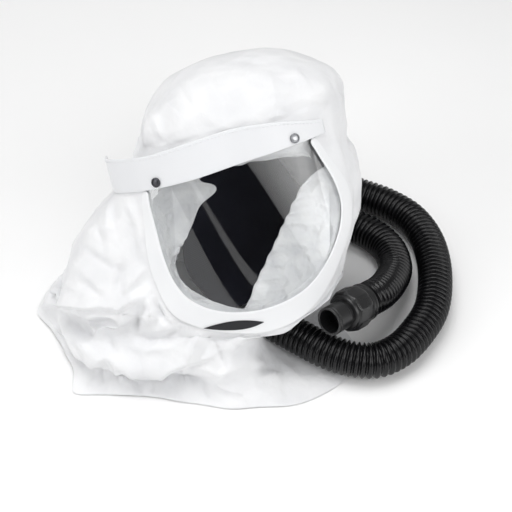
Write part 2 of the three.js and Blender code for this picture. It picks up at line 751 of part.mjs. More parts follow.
// Connector: a cuff on the hose, a collar with grip flats, and a hollow spigot
const hoseEnd = hoseCurve.getPointAt(1);
const connectorAxis = hoseCurve.getTangentAt(1);
const along = (distance) => hoseEnd.clone().addScaledVector(connectorAxis, distance);
const cuffStart = GAP;
const collarStart = cuffStart + CUFF_LENGTH + GAP;
const spigotStart = collarStart + COLLAR_LENGTH + GAP;
const cuff = fitting(
  "connector_cuff",
  [
    [0, 0],
    [CUFF_RADIUS, 0],
    [CUFF_RADIUS, CUFF_LENGTH],
    [0, CUFF_LENGTH],
  ],
  24,
  along(cuffStart),
  connectorAxis,
  HOSE_BLACK,
);
const collar = fitting(
  "connector_collar",
  [
    [0, 0],
    [COLLAR_RADIUS - 2, 0],
    [COLLAR_RADIUS, 2.5],
    [COLLAR_RADIUS, COLLAR_LENGTH - 5],
    [COLLAR_RADIUS - 4, COLLAR_LENGTH],
    [0, COLLAR_LENGTH],
  ],
  COLLAR_FLATS,
  along(collarStart),
  connectorAxis,
  HOSE_BLACK,
);
const spigot = fitting(
  "connector_spigot",
  [
    [0, 0],
    [SPIGOT_RADIUS, 0],
    [SPIGOT_RADIUS, SPIGOT_LENGTH],
    [SPIGOT_BORE, SPIGOT_LENGTH],
    [SPIGOT_BORE, SPIGOT_LENGTH - SPIGOT_BORE_DEPTH],
    [0, SPIGOT_LENGTH - SPIGOT_BORE_DEPTH],
  ],
  28,
  along(spigotStart),
  connectorAxis,
  HOSE_BLACK,
);

const hood = new THREE.Group();
hood.name = "respirator_hood";
hood.position.copy(SHIFT);
hood.add(head, piece("hood_cape", cape, CLOTH), inlet, piece("breathing_hose", hose, HOSE_BLACK));
hood.add(cuff, collar, spigot);

export default hood;
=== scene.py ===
"""Looks of a disposable respirator hood that lies on its cape, with its breathing hose beside it.

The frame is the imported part's: +Z up, the visor towards -Y, the hose on the +X side. Sizes are in
millimetres, as on a drawing, and go into the meshes in metres.
"""

import logging
import math
from collections.abc import Mapping, Sequence
from dataclasses import dataclass
from enum import Enum

import bmesh
import bpy
import numpy as np
import numpy.typing as npt
from mathutils import Matrix

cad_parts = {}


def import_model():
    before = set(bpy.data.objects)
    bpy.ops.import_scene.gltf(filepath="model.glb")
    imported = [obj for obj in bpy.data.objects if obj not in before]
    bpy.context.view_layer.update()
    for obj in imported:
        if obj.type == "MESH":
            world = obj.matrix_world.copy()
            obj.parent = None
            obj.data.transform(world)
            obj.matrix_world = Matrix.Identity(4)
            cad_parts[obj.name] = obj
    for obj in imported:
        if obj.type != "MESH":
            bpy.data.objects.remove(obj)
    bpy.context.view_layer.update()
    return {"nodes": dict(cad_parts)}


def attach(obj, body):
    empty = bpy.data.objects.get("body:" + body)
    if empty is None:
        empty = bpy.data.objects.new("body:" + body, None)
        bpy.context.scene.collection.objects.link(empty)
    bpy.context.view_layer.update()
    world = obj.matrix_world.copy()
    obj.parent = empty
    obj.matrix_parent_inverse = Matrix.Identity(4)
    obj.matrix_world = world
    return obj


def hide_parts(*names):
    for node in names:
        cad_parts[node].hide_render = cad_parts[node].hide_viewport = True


Array = npt.NDArray[np.float64]
Row = tuple[float, ...]
Table = tuple[Row, ...]
Pair = tuple[float, float]
Colour = tuple[float, float, float]
Node = bpy.types.Node
Socket = bpy.types.NodeSocket
Piece = bpy.types.Object

MM = 0.001
BODY = "root"
FAR = 1e9  # Past any distance
BEYOND = 1000.0  # Past any height of the hood
TINY = 1e-9  # Keeps a division from 0
JOINED = 1e-6  # Points closer than this are one point, in metres
SLIVER = 1e-7  # Shorter edges are dropped, in metres
log = logging.getLogger("respirator_hood")


# Curves and grids


def spline(values: Array, at: Array, closed: bool = False) -> Array:
    """Catmull-Rom curve through equally spaced knots.

    Args:
        values: One entry for each knot; with more axes, the second one has an entry for each place.
        at: Places along the curve, from 0 to 1.
        closed: Whether the last knot is followed by the first.

    Returns:
        The curve's value at each place.
    """
    count = len(values)
    place = at * (count if closed else count - 1)
    start = np.floor(place).astype(int)
    if not closed:
        start = np.clip(start, 0, count - 2)
    steps = [start + k for k in (-1, 0, 1, 2)]
    knots = [k % count if closed else np.clip(k, 0, count - 1) for k in steps]
    own = np.arange(len(at))
    a, b, c, d = (values[k] if values.ndim == 1 else values[k, own] for k in knots)
    f = (place - start).reshape((-1,) + (1,) * (b.ndim - 1))
    return 0.5 * (2 * b + (c - a) * f + (2 * a - 5 * b + 4 * c - d) * f**2 + (3 * b - a - 3 * c + d) * f**3)


def ring_spline(values: Sequence[float] | Array, angle: Array) -> Array:
    """Closed spline through values at even angles, read at angles in degrees."""
    at = (angle.ravel() % 360.0) / 360.0
    return spline(np.asarray(values, dtype=float), at, closed=True).reshape(angle.shape)


def ring_point(radius: Array, angle: Array, z: Array) -> Array:
    """Points round an upright axis at angles in degrees: (radius sin a, -radius cos a, z)."""
    a = np.radians(angle)
    return np.stack([radius * np.sin(a), -radius * np.cos(a), z], axis=-1)


def bell(distance: Array, spread: float) -> Array:
    """Bell curve of unit height: exp(-(distance / spread)^2)."""
    return np.exp(-((distance / spread) ** 2))


def turn(a: Array, b: float) -> Array:
    """Signed difference of two angles in degrees, from -180 to 180."""
    return (a - b + 540.0) % 360.0 - 180.0


def unit(vectors: Array) -> Array:
    """Vectors of unit length along the last axis."""
    return vectors / np.maximum(np.linalg.norm(vectors, axis=-1, keepdims=True), TINY)


def ramp(distance: Array, hold: Pair) -> Array:
    """0 up to a first distance, and from there up to 1 over a second one."""
    return np.clip((distance - hold[0]) / hold[1], 0.0, 1.0)


def nearest(places: Array, marks: Array) -> Array:
    """Distance of each place to the nearest of some marks.

    Args:
        places: Places, one row each.
        marks: Marks, one row each.

    Returns:
        One distance for each place.
    """
    near = np.full(len(places), FAR)
    for mark in marks:
        near = np.minimum(near, np.linalg.norm(places - mark, axis=1))
    return near


def lerp(a: Array | float, b: Array | float, f: Array | float) -> Array:
    """Straight blend from a to b."""
    return np.asarray(a + (b - a) * f)


@dataclass(frozen=True)
class Route:
    """Centripetal Catmull-Rom curve through given points.

    Attributes:
        points: The points, one row each.
        closed: Whether the curve returns to its first point.
        fineness: Steps for each point when lengths are measured.
        nudge: Step to each side, as a share, that gives a tangent.
    """

    points: Array
    closed: bool = False
    fineness: int = 60
    nudge: float = 1e-4

    def at(self, share: Array) -> Array:
        """Points at shares of the knots.

        Args:
            share: Places from 0 to 1, each knot span taking the same share.

        Returns:
            One point for each place.
        """
        p, n = self.points, len(self.points)
        place = share * (n if self.closed else n - 1)
        k = np.floor(place).astype(int)
        if not self.closed:
            k = np.clip(k, 0, n - 2)
        f = (place - k)[:, None]
        padded = np.vstack([2 * p[0] - p[1], p, 2 * p[-1] - p[-2]])
        pick = (lambda i: p[i % n]) if self.closed else (lambda i: padded[i + 1])
        p0, p1, p2, p3 = pick(k - 1), pick(k), pick(k + 1), pick(k + 2)
        ways = (p1 - p0, p2 - p1, p3 - p2)
        d0, d1, d2 = (np.sqrt(np.linalg.norm(way, axis=1, keepdims=True)) for way in ways)
        t1 = ((p1 - p0) / d0 - (p2 - p0) / (d0 + d1) + (p2 - p1) / d1) * d1
        t2 = ((p2 - p1) / d1 - (p3 - p1) / (d1 + d2) + (p3 - p2) / d2) * d1
        return p1 + t1 * f + (3 * (p2 - p1) - 2 * t1 - t2) * f**2 + (2 * (p1 - p2) + t1 + t2) * f**3

    def fine(self) -> Array:
        """Close places along the curve, for measuring lengths."""
        return np.linspace(0.0, 1.0, self.fineness * len(self.points))

    def even(self, share: Array) -> tuple[Array, Array]:
        """Points and unit tangents at shares of the curve's length.

        Args:
            share: Places from 0 to 1 along the length.

        Returns:
            The points, and the tangents there.
        """
        fine = self.fine()
        run = np.concatenate([[0.0], np.cumsum(np.linalg.norm(np.diff(self.at(fine), axis=0), axis=1))])
        place = np.interp(share * run[-1], run, fine)
        ahead = self.at(np.clip(place + self.nudge, 0.0, 1.0))
        behind = self.at(np.clip(place - self.nudge, 0.0, 1.0))
        return self.at(place), unit(ahead - behind)

    def length(self) -> float:
        """Length of the curve."""
        return float(np.linalg.norm(np.diff(self.at(self.fine()), axis=0), axis=1).sum())


def normals_of(points: Array) -> Array:
    """Unit normals of a grid whose columns close on themselves, from its central differences."""
    across = np.roll(points, -1, axis=1) - np.roll(points, 1, axis=1)
    return unit(np.cross(across, np.gradient(points, axis=0)))


def grid_piece(
    name: str,
    points: Array,
    wrap: bool = False,
    loop: bool = False,
    keep: Array | None = None,
    size: Pair = (1.0, 1.0),
    crease: float = 180.0,
) -> Piece:
    """Mesh object from a grid of points, with a quad between each four of them.

    The faces point outwards: their corners go the way round that makes the volume positive, the sum of
    a . (b x c) / 6 over the triangles.

    Args:
        name: Name of the piece.
        points: Grid in millimetres, rows by columns by 3.
        wrap: Whether the last column joins the first.
        loop: Whether the last row joins the first.
        keep: Which quads are made, rows by columns; all when left out.
        size: Width and length of the piece's flat pattern in metres, for its UV map.
        crease: Angle in degrees past which an edge is drawn sharp.

    Returns:
        The object, at the origin, with equal points joined.
    """
    rows, columns = points.shape[:2]
    i, j = np.meshgrid(np.arange(columns if wrap else columns - 1), np.arange(rows if loop else rows - 1))
    if keep is not None:
        i, j = i[keep], j[keep]
    i, j = i.ravel(), j.ravel()
    order = ((0, 0), (1, 0), (1, 1), (0, 1))
    corners = np.stack([((j + b) % rows) * columns + (i + a) % columns for a, b in order], axis=1)
    spots = [np.stack([(i + a) / columns * size[0], (j + b) / rows * size[1]], axis=1) for a, b in order]
    spread = np.stack(spots, axis=1)
    a, b, c, d = (points.reshape(-1, 3)[corners[:, k]] for k in range(4))
    if np.sum(a * (np.cross(b, c) + np.cross(c, d))) < 0.0:
        corners, spread = corners[:, ::-1], spread[:, ::-1]
    used, corners = np.unique(corners, return_inverse=True)
    corners = corners.reshape(-1, 4)
    mesh = bpy.data.meshes.new(name)
    mesh.vertices.add(len(used))
    mesh.vertices.foreach_set("co", (points.reshape(-1, 3)[used].reshape(-1) * MM).astype(np.float32))
    mesh.loops.add(corners.size)
    mesh.loops.foreach_set("vertex_index", corners.reshape(-1).astype(np.int32))
    mesh.polygons.add(len(corners))
    mesh.polygons.foreach_set("loop_start", np.arange(0, corners.size, 4, dtype=np.int32))
    mesh.polygons.foreach_set("loop_total", np.full(len(corners), 4, dtype=np.int32))
    mesh.uv_layers.new(name="pattern").data.foreach_set("uv", spread.reshape(-1).astype(np.float32))
    mesh.polygons.foreach_set("use_smooth", np.ones(len(corners), dtype=bool))
    mesh.update(calc_edges=True)
    mesh.validate()
    joined = bpy.data.objects.new(name, mesh)
    bpy.context.scene.collection.objects.link(joined)
    work = bmesh.new()
    work.from_mesh(mesh)
    bmesh.ops.remove_doubles(work, verts=work.verts, dist=JOINED)
    bmesh.ops.dissolve_degenerate(work, edges=work.edges, dist=SLIVER)
    work.to_mesh(mesh)
    work.free()
    if crease < 180.0:
        mesh.set_sharp_from_angle(angle=math.radians(crease))
    return joined


def capped(points: Array) -> Array:
    """Grid with both ends closed, each by a row at the middle of its end row."""
    first, last = (points[k].mean(axis=0, keepdims=True).repeat(points.shape[1], 0)[None] for k in (0, -1))
    return np.concatenate([first, points, last])


def folded(points: Array) -> Array:
    """Grid of a thin solid with both ends closed, each by its end row folded on its middle line."""
    first, last = (0.5 * (points[k] + points[k][::-1])[None] for k in (0, -1))
    return np.concatenate([first, points, last])


def turned_grid(
    profile: Array,
    start: Array,
    axis: Array,
    sides: int,
    flats: int = 0,
    sharp: Array | None = None,
) -> Array:
    """Grid of a profile turned about an axis.

    Each profile point goes round a circle; where flats are given, its radius follows a polygon instead:
    radius * cos(pi / flats) / cos(angle from the flat's middle), blended by its sharpness.

    Args:
        profile: Radius and height of each point.
        start: Point where the height is 0.
        axis: Unit direction of the heights.
        sides: Points round the circle.
        flats: Number of grip flats, or 0.
        sharp: How far each profile point follows the flats, from 0 to 1.

    Returns:
        Grid of points, one row for each profile point.
    """
    side = unit(np.cross(axis, np.array([0.0, 0.0, 1.0])))
    up = np.cross(side, axis)
    round_ = np.linspace(0.0, 2 * np.pi, sides, endpoint=False)
    radius = np.repeat(profile[:, :1], sides, axis=1)
    if flats and sharp is not None:
        step = 2 * np.pi / flats
        polygon = np.cos(step / 2) / np.cos(round_ % step - step / 2)
        radius = radius * lerp(1.0, polygon[None, :], sharp[:, None])
    ring = np.cos(round_)[:, None] * side + np.sin(round_)[:, None] * up
    return start + profile[:, 1, None, None] * axis + radius[:, :, None] * ring[None]


def rounded_loop(count: int, power: float) -> tuple[Array, Array]:
    """Rounded rectangle of half sizes 1: height = (1 - |across|^n)^(1/n) with n = 2 / power.

    Args:
        count: Points round it.
        power: 1 is an ellipse, and less is squarer.

    Returns:
        Places across and places in height, each from -1 to 1.
    """
    a = np.linspace(0.0, 2 * np.pi, count, endpoint=False)
    across, n = np.cos(a), 2.0 / power
    return across, np.sign(np.sin(a)) * np.clip(1.0 - np.abs(across) ** n, 0.0, 1.0) ** (1.0 / n)


def crumple(points: Array, seed: int, count: int, span: Pair) -> Array:
    """Height of small sharp folds at points of a sheet.

    The sum of triangle waves in random directions, each 2 * |x - round(x)| with its corner eased, at
    wavelengths between the two ends of a span, bent by slow sine waves so that no fold is straight.

    Args:
        points: Points in millimetres, any shape by 3.
        seed: Start of the random directions.
        count: Number of waves.
        span: Shortest and longest wavelength in millimetres.

    Returns:
        Heights about 0, with a spread of about 1.
    """
    slow, sway = 0.022, 9.0  # Rate and reach of the slow waves, per millimetre and in millimetres
    patch = 0.03  # Rate of the patches in which a fold is strong
    ease, fade = 0.003, 0.7  # Roundness of the crests, and how much lower the short waves are
    rng = np.random.default_rng(seed)
    flat = points.reshape(-1, 3)
    bend = np.stack([np.sin(flat @ rng.normal(0, slow, 3) + rng.uniform(0, 6)) for _ in range(3)], axis=1)
    bent = flat + sway * bend
    total = np.zeros(len(flat))
    for k in range(count):
        wave = span[0] * (span[1] / span[0]) ** (k / max(count - 1, 1))
        x = bent @ (unit(rng.normal(size=3)) / wave) + rng.uniform()
        local = 0.5 + 0.5 * np.sin(flat @ rng.normal(0, patch, 3) + rng.uniform(0, 6))
        crest = np.sqrt((2 * np.abs(x - np.round(x))) ** 2 + ease) - 0.5
        total += local * crest * (wave / span[1]) ** fade
    return (total / (0.35 * np.sqrt(count))).reshape(points.shape[:-1])


# Finishes


class Shade:
    """Writes nodes into one tree."""

    def __init__(self, tree: bpy.types.NodeTree) -> None:
        """Keeps the tree that the nodes go into."""
        self.tree = tree

    def node(self, kind: str, inputs: Mapping[str | int, object] | None = None, **settings: object) -> Node:
        """Adds a node.

        Args:
            kind: Blender's name of the node type.
            inputs: Value or source socket for each named input.
            settings: The node's own settings.

        Returns:
            The node.
        """
        made = self.tree.nodes.new(kind)
        for name, value in settings.items():
            setattr(made, name, value)
        self.fill(made, inputs or {})
        return made

    def fill(self, node: Node, inputs: Mapping[str | int, object]) -> None:
        """Links or sets a node's inputs."""
        for name, value in inputs.items():
            self.feed(node.inputs[name], value)

    def feed(self, socket: Socket, value: object) -> None:
        """Links a source socket, or sets a plain value."""
        if isinstance(value, Socket):
            self.tree.links.new(value, socket)
        else:
            socket.default_value = value

    def math(self, operation: str, a: object, b: object = 0.0) -> Socket:
        """Result of a math node on two values."""
        return self.node("ShaderNodeMath", {0: a, 1: b}, operation=operation).outputs[0]

    def times(self, a: object, b: object) -> Socket:
        """Product of two values."""
        return self.math("MULTIPLY", a, b)

    def span(self, value: object, low: float, high: float, start: float = 0.0, end: float = 1.0) -> Socket:
        """Value stretched so that start becomes low and end becomes high, and held between them."""
        sizes = {"From Min": start, "From Max": end, "To Min": low, "To Max": high}
        return self.node("ShaderNodeMapRange", {"Value": value, **sizes}).outputs["Result"]

    def noise(self, vector: Socket, scale: object, detail: float) -> Node:
        """Noise with a number of features in each metre."""
        return self.node("ShaderNodeTexNoise", {"Vector": vector, "Scale": scale, "Detail": detail})

    def mix(self, factor: object, a: Colour, b: Colour) -> Socket:
        """Blend of two colours."""
        inputs = {0: factor, 6: (*a, 1.0), 7: (*b, 1.0)}
        return self.node("ShaderNodeMix", inputs, data_type="RGBA").outputs[2]

    def bump(self, height: object, distance: float, normal: object = None) -> Socket:
        """Normal bent by a height.

        Args:
            height: Height, about 0 to 1.
            distance: Metres for a height of 1.
            normal: Earlier normal that it lies over, if any.

        Returns:
            The bent normal.
        """
        made = self.node("ShaderNodeBump", {"Height": height, "Distance": distance, "Strength": 1.0})
        if normal is not None:
            self.feed(made.inputs["Normal"], normal)
        return made.outputs[0]


class Effect(Enum):
    """Surface effects that several finishes share, each one shader node group."""

    CRUMPLE = "crumple"
    FIBRE = "fibre"
    GRAIN = "moulded_grain"
    WEAVE = "weave"

    def place(self, shade: Shade, vector: Socket, scale: float) -> Node:
        """Puts the effect into a material.

        Args:
            shade: Writer of the material's nodes.
            vector: Coordinates that the effect reads.
            scale: Features in each metre.

        Returns:
            The group node, with outputs Height and Shade.
        """
        return shade.node("ShaderNodeGroup", {"Vector": vector, "Scale": scale}, node_tree=self.tree())

    def tree(self) -> bpy.types.NodeTree:
        """Builds the effect's node group on first use.

        Returns:
            The group.
        """
        old = bpy.data.node_groups.get(self.value)
        if old is not None:
            return old
        tree = bpy.data.node_groups.new(self.value, "ShaderNodeTree")
        ends = (("Vector", "INPUT"), ("Scale", "INPUT"), ("Height", "OUTPUT"), ("Shade", "OUTPUT"))
        for name, way in ends:
            kind = "NodeSocketVector" if name == "Vector" else "NodeSocketFloat"
            tree.interface.new_socket(name=name, in_out=way, socket_type=kind)
        shade = Shade(tree)
        source = shade.node("NodeGroupInput")
        makers = {
            Effect.CRUMPLE: self._crumple,
            Effect.FIBRE: self._fibre,
            Effect.GRAIN: self._grain,
            Effect.WEAVE: self._weave,
        }
        height, mask = makers[self](shade, source.outputs["Vector"], source.outputs["Scale"])
        shade.node("NodeGroupOutput", {"Height": height, "Shade": mask})
        return tree

    @staticmethod
    def _crumple(shade: Shade, vector: Socket, scale: Socket) -> tuple[Socket, Socket]:
        """Ridged noise over the distances in two sizes of cells, on bent coordinates: creases and facets.

        Args:
            shade: Writer of the group's tree.
            vector: Coordinates.
            scale: Creases in each metre.

        Returns:
            The height, and a mask that is high on the facets; the cloth paints shade into the creases by
            it.
        """
        slow = shade.noise(vector, shade.times(scale, 0.5), 2.0)
        centred = {0: slow.outputs["Color"], 1: (0.5, 0.5, 0.5)}
        bend = shade.node("ShaderNodeVectorMath", centred, operation="SUBTRACT")
        moved = {0: bend.outputs[0], "Scale": shade.math("DIVIDE", 0.7, scale)}
        shift = shade.node("ShaderNodeVectorMath", moved, operation="SCALE")
        ends = {0: vector, 1: shift.outputs[0]}
        bent = shade.node("ShaderNodeVectorMath", ends, operation="ADD").outputs[0]
        cells = shade.node("ShaderNodeTexVoronoi", {"Vector": bent, "Scale": scale}, feature="F1")
        finer = {"Vector": bent, "Scale": shade.times(scale, 2.3)}
        small = shade.node("ShaderNodeTexVoronoi", finer, feature="F1")
        ridge = shade.noise(bent, shade.times(scale, 0.8), 1.0)
        fold = shade.math("ABSOLUTE", shade.math("SUBTRACT", ridge.outputs["Fac"], 0.5))
        high = shade.math("ADD", cells.outputs["Distance"], shade.times(small.outputs["Distance"], 0.4))
        total = shade.math("ADD", high, shade.times(fold, 2.2))
        return total, shade.span(total, 0.0, 1.0, 0.3, 1.3)

    @staticmethod
    def _fibre(shade: Shade, vector: Socket, scale: Socket) -> tuple[Socket, Socket]:
        """Two stretched noises that cross, as the bonded threads of a nonwoven.

        Args:
            shade: Writer of the group's tree.
            vector: Coordinates.
            scale: Threads in each metre.

        Returns:
            The height, and the same as a mask.
        """
        lines = []
        for angle in (0.5, -0.8):
            lie = {"Vector": vector, "Rotation": (angle, 0.3, angle), "Scale": (1.0, 0.15, 1.0)}
            stretched = shade.node("ShaderNodeMapping", lie).outputs[0]
            lines.append(shade.noise(stretched, scale, 2.0).outputs["Fac"])
        total = shade.times(shade.math("ADD", *lines), 0.5)
        return total, total

    @staticmethod
    def _grain(shade: Shade, vector: Socket, scale: Socket) -> tuple[Socket, Socket]:
        """Fine noise over slow noise, as the skin of a moulding.

        Args:
            shade: Writer of the group's tree.
            vector: Coordinates.
            scale: Grains in each metre.

        Returns:
            The height, and a slow mask for stains and handling marks.
        """
        fine = shade.noise(vector, scale, 3.0)
        slow = shade.noise(vector, shade.times(scale, 0.03), 4.0)
        return fine.outputs["Fac"], slow.outputs["Fac"]

    @staticmethod
    def _weave(shade: Shade, vector: Socket, scale: Socket) -> tuple[Socket, Socket]:
        """Product of two sine waves at right angles, raised where a thread crosses over.

        Args:
            shade: Writer of the group's tree.
            vector: Flat pattern coordinates in metres.
            scale: Threads in each metre.

        Returns:
            The height, and the same as a mask.
        """
        parts = shade.node("ShaderNodeSeparateXYZ", {0: vector})
        waves = []
        for axis in (0, 1):
            place = shade.times(parts.outputs[axis], scale)
            waves.append(shade.math("SINE", shade.times(place, 2 * math.pi)))
        total = shade.math("MULTIPLY_ADD", shade.times(*waves), 0.5)
        return total, total


@dataclass(frozen=True)
class Finish:
    """Base of the finishes.

    Attributes:
        name: Name of the material.
        colour: Linear base colour.
        roughness: Middle roughness.
    """

    name: str
    colour: Colour
    roughness: float

    def material(self) -> bpy.types.Material:
        """Builds the finish's material on first use.

        Returns:
            The material.
        """
        old = bpy.data.materials.get(self.name)
        if old is not None:
            return old
        made = bpy.data.materials.new(self.name)
        made.use_nodes = True
        made.node_tree.nodes.clear()
        shade = Shade(made.node_tree)
        plain = {"Base Color": (*self.colour, 1.0), "Roughness": self.roughness}
        surface = shade.node("ShaderNodeBsdfPrincipled", plain)
        self.dress(shade, surface)
        shade.node("ShaderNodeOutputMaterial", {"Surface": self.shader(shade, surface)})
        return made

    def dress(self, shade: Shade, surface: Node) -> None:
        """Adds the finish's own detail.

        Args:
            shade: Writer of the material's nodes.
            surface: Its shader.
        """

    def shader(self, shade: Shade, surface: Node) -> Socket:
        """Shader for the output: the surface alone."""
        return surface.outputs[0]

    @staticmethod
    def place(shade: Shade) -> Socket:
        """Object coordinates."""
        return shade.node("ShaderNodeTexCoord").outputs["Object"]

    @staticmethod
    def pattern(shade: Shade) -> Socket:
        """Coordinates of the piece's flat pattern, in metres."""
        return shade.node("ShaderNodeTexCoord").outputs["UV"]


@dataclass(frozen=True)
class ClothFinish(Finish):
    """Crumpled white nonwoven.

    Attributes:
        shadow: Painted shade: the darker colour mixed into the creases.
        creases: Creases in each metre.
        depth: Depth of the creases in metres.
        finer: Rate and depth of the small creases against the large ones.
        fibres: Bonded fibres in each metre.
        fibre_depth: Their depth in metres.
        uneven: How far the roughness changes to each side.
        sheen: Weight and roughness of the sheen.
    """

    shadow: Colour = (0.78, 0.785, 0.8)
    creases: float = 24.0
    depth: float = 0.0024
    finer: Pair = (2.7, 0.2)
    fibres: float = 900.0
    fibre_depth: float = 0.00012
    uneven: float = 0.1
    sheen: Pair = (0.12, 0.5)

    def dress(self, shade: Shade, surface: Node) -> None:
        """Creases at two sizes and bonded fibres, with painted shade in the creases and a faint sheen.

        Args:
            shade: Writer of the material's nodes.
            surface: Its shader.
        """
        place = self.place(shade)
        large = Effect.CRUMPLE.place(shade, place, self.creases)
        small = Effect.CRUMPLE.place(shade, place, self.creases * self.finer[0])
        fibre = Effect.FIBRE.place(shade, place, self.fibres)
        low, high = self.roughness - self.uneven, self.roughness + self.uneven
        normal = shade.bump(large.outputs["Height"], self.depth)
        normal = shade.bump(small.outputs["Height"], self.depth * self.finer[1], normal=normal)
        normal = shade.bump(fibre.outputs["Height"], self.fibre_depth, normal=normal)
        inputs = {
            # Painted shade: the crease mask darkens the colour in the creases.
            "Base Color": shade.mix(large.outputs["Shade"], self.shadow, self.colour),
            "Roughness": shade.span(fibre.outputs["Shade"], low, high),
            "Normal": normal,
            "Sheen Weight": self.sheen[0],
            "Sheen Roughness": self.sheen[1],
        }
        shade.fill(surface, inputs)


@dataclass(frozen=True)
class MouldedFinish(Finish):
    """Moulded plastic or rubber with a fine grain.

    Attributes:
        grain: Grains in each metre.
        depth: Depth of the grain in metres.
        worn: Colour of the handled places.
        gloss: Level of its mirror reflection; 0.5 is a common plastic.
        uneven: How far the roughness changes to each side.
    """

    grain: float = 1400.0
    depth: float = 0.00008
    worn: Colour = (0.05, 0.05, 0.055)
    gloss: float = 0.5
    uneven: float = 0.08

    def dress(self, shade: Shade, surface: Node) -> None:
        """Grain in the normal, and slow changes of colour and roughness.

        Args:
            shade: Writer of the material's nodes.
            surface: Its shader.
        """
        grain = Effect.GRAIN.place(shade, self.place(shade), self.grain)
        marks = grain.outputs["Shade"]
        low, high = self.roughness - self.uneven, self.roughness + self.uneven
        inputs = {
            "Base Color": shade.mix(marks, self.colour, self.worn),
            "Roughness": shade.span(marks, low, high, 0.3, 0.7),
            "Normal": shade.bump(grain.outputs["Height"], self.depth),
            "Specular IOR Level": self.gloss,
        }
        shade.fill(surface, inputs)


@dataclass(frozen=True)
class ClearFinish(Finish):
    """Clear flexible sheet, which lets light through to what lies behind it.

    Attributes:
        ior: Refractive index.
        shadow: Colour of the light in its shadow.
        marks: Handling marks in each metre.
        dulled: How much rougher they are.
    """

    ior: float = 1.58
    shadow: Colour = (0.93, 0.94, 0.95)
    marks: float = 600.0
    dulled: float = 0.03

    def dress(self, shade: Shade, surface: Node) -> None:
        """Clear body with faint handling marks in its gloss.

        Args:
            shade: Writer of the material's nodes.
            surface: Its shader.
        """
        marks = Effect.GRAIN.place(shade, self.place(shade), self.marks).outputs["Shade"]
        rough = shade.span(marks, self.roughness, self.roughness + self.dulled, 0.35, 0.75)
        shade.fill(surface, {"Transmission Weight": 1.0, "IOR": self.ior, "Roughness": rough})

    def shader(self, shade: Shade, surface: Node) -> Socket:
        """Surface that throws no dark shadow.

        Args:
            shade: Writer of the material's nodes.
            surface: Its shader.

        Returns:
            The shader for the output.
        """
        clear = shade.node("ShaderNodeBsdfTransparent", {"Color": (*self.shadow, 1.0)})
        shadow = shade.node("ShaderNodeLightPath").outputs["Is Shadow Ray"]
        ends = {0: shadow, 1: surface.outputs[0], 2: clear.outputs[0]}
        return shade.node("ShaderNodeMixShader", ends).outputs[0]


@dataclass(frozen=True)
class WovenFinish(Finish):
    """Dark woven textile.

    Attributes:
        thread: Colour of the raised threads.
        threads: Threads in each metre.
        depth: Depth of the weave in metres.
        sheen: Weight of the sheen.
        gloss: Level of its mirror reflection.
    """

    thread: Colour = (0.016, 0.017, 0.028)
    threads: float = 420.0
    depth: float = 0.0002
    sheen: float = 0.03
    gloss: float = 0.15

    def dress(self, shade: Shade, surface: Node) -> None:
        """Weave in colour and normal, with a soft sheen.

        Args:
            shade: Writer of the material's nodes.
            surface: Its shader.
        """
        weave = Effect.WEAVE.place(shade, self.pattern(shade), self.threads)
        inputs = {
            "Base Color": shade.mix(weave.outputs["Shade"], self.colour, self.thread),
            "Normal": shade.bump(weave.outputs["Height"], self.depth),
            "Sheen Weight": self.sheen,
            "Specular IOR Level": self.gloss,
        }
        shade.fill(surface, inputs)


@dataclass(frozen=True)
class SteelFinish(Finish):
    """Bright rivet steel.

    Attributes:
        marks: Fine marks in each metre.
        uneven: How much smoother and rougher they make it.
    """

    marks: float = 2500.0
    uneven: Pair = (0.05, 0.1)

    def dress(self, shade: Shade, surface: Node) -> None:
        """Metal with fine marks in its roughness.

        Args:
            shade: Writer of the material's nodes.
            surface: Its shader.
        """
        grain = Effect.GRAIN.place(shade, self.place(shade), self.marks).outputs["Height"]
        low, high = self.roughness - self.uneven[0], self.roughness + self.uneven[1]
        shade.fill(surface, {"Metallic": 1.0, "Roughness": shade.span(grain, low, high, 0.3, 0.7)})


HOOD_CLOTH = ClothFinish("hood_nonwoven", (0.86, 0.863, 0.872), 0.75)
# Painted shade: the seal's white nonwoven is darkened for its place in the shade inside the hood, behind
# the visor.
SHADED_SEAL_CLOTH = ClothFinish("seal_nonwoven_painted_shade", (0.65, 0.647, 0.641), 0.7, (0.54, 0.54, 0.55), 48.0, 0.003)
RIM_PLASTIC = MouldedFinish("rim_plastic", (0.88, 0.885, 0.895), 0.38, 900.0, 0.00005, (0.84, 0.85, 0.865))
BAND_PLASTIC = MouldedFinish("band_plastic", (0.83, 0.835, 0.85), 0.42, 700.0, 0.00006, (0.79, 0.8, 0.82))
STITCH_THREAD = MouldedFinish("stitch_thread", (0.82, 0.83, 0.85), 0.7, 3000.0, 0.0001, (0.74, 0.75, 0.77))
CLEAR_SHEET = ClearFinish("clear_sheet", (0.97, 0.98, 0.985), 0.015)
STUD_STEEL = SteelFinish("stud_steel", (0.26, 0.265, 0.28), 0.24)
STUD_CAP = SteelFinish("stud_cap", (0.56, 0.565, 0.58), 0.34)
# Painted shade: a darker copy of the stud steel, for the stud at the wearer's right, which is the same stud
# as the other.
SHADED_STUD_STEEL = SteelFinish("stud_steel_painted_shade", (0.09, 0.09, 0.1), 0.3)
LABEL_PLATE = MouldedFinish(
    "label_plate", (0.024, 0.024, 0.027), 0.5, 900.0, 0.00005, (0.034, 0.034, 0.038), 0.2
)
HARNESS_WEB = WovenFinish("harness_textile", (0.006, 0.0065, 0.014), 0.85)
HOSE_RUBBER = MouldedFinish(
    "hose_rubber", (0.003, 0.003, 0.0035), 0.22, 900.0, 0.00004, (0.006, 0.006, 0.007), 0.34
)
FITTING_PLASTIC = MouldedFinish(
    "fitting_plastic", (0.008, 0.008, 0.0085), 0.32, 1200.0, 0.00005, (0.014, 0.014, 0.015), 0.6
)
FLOOR_PALE = MouldedFinish("floor_pale", (0.985, 0.985, 0.985), 0.75, 200.0, 0.0, (0.99, 0.99, 0.99))


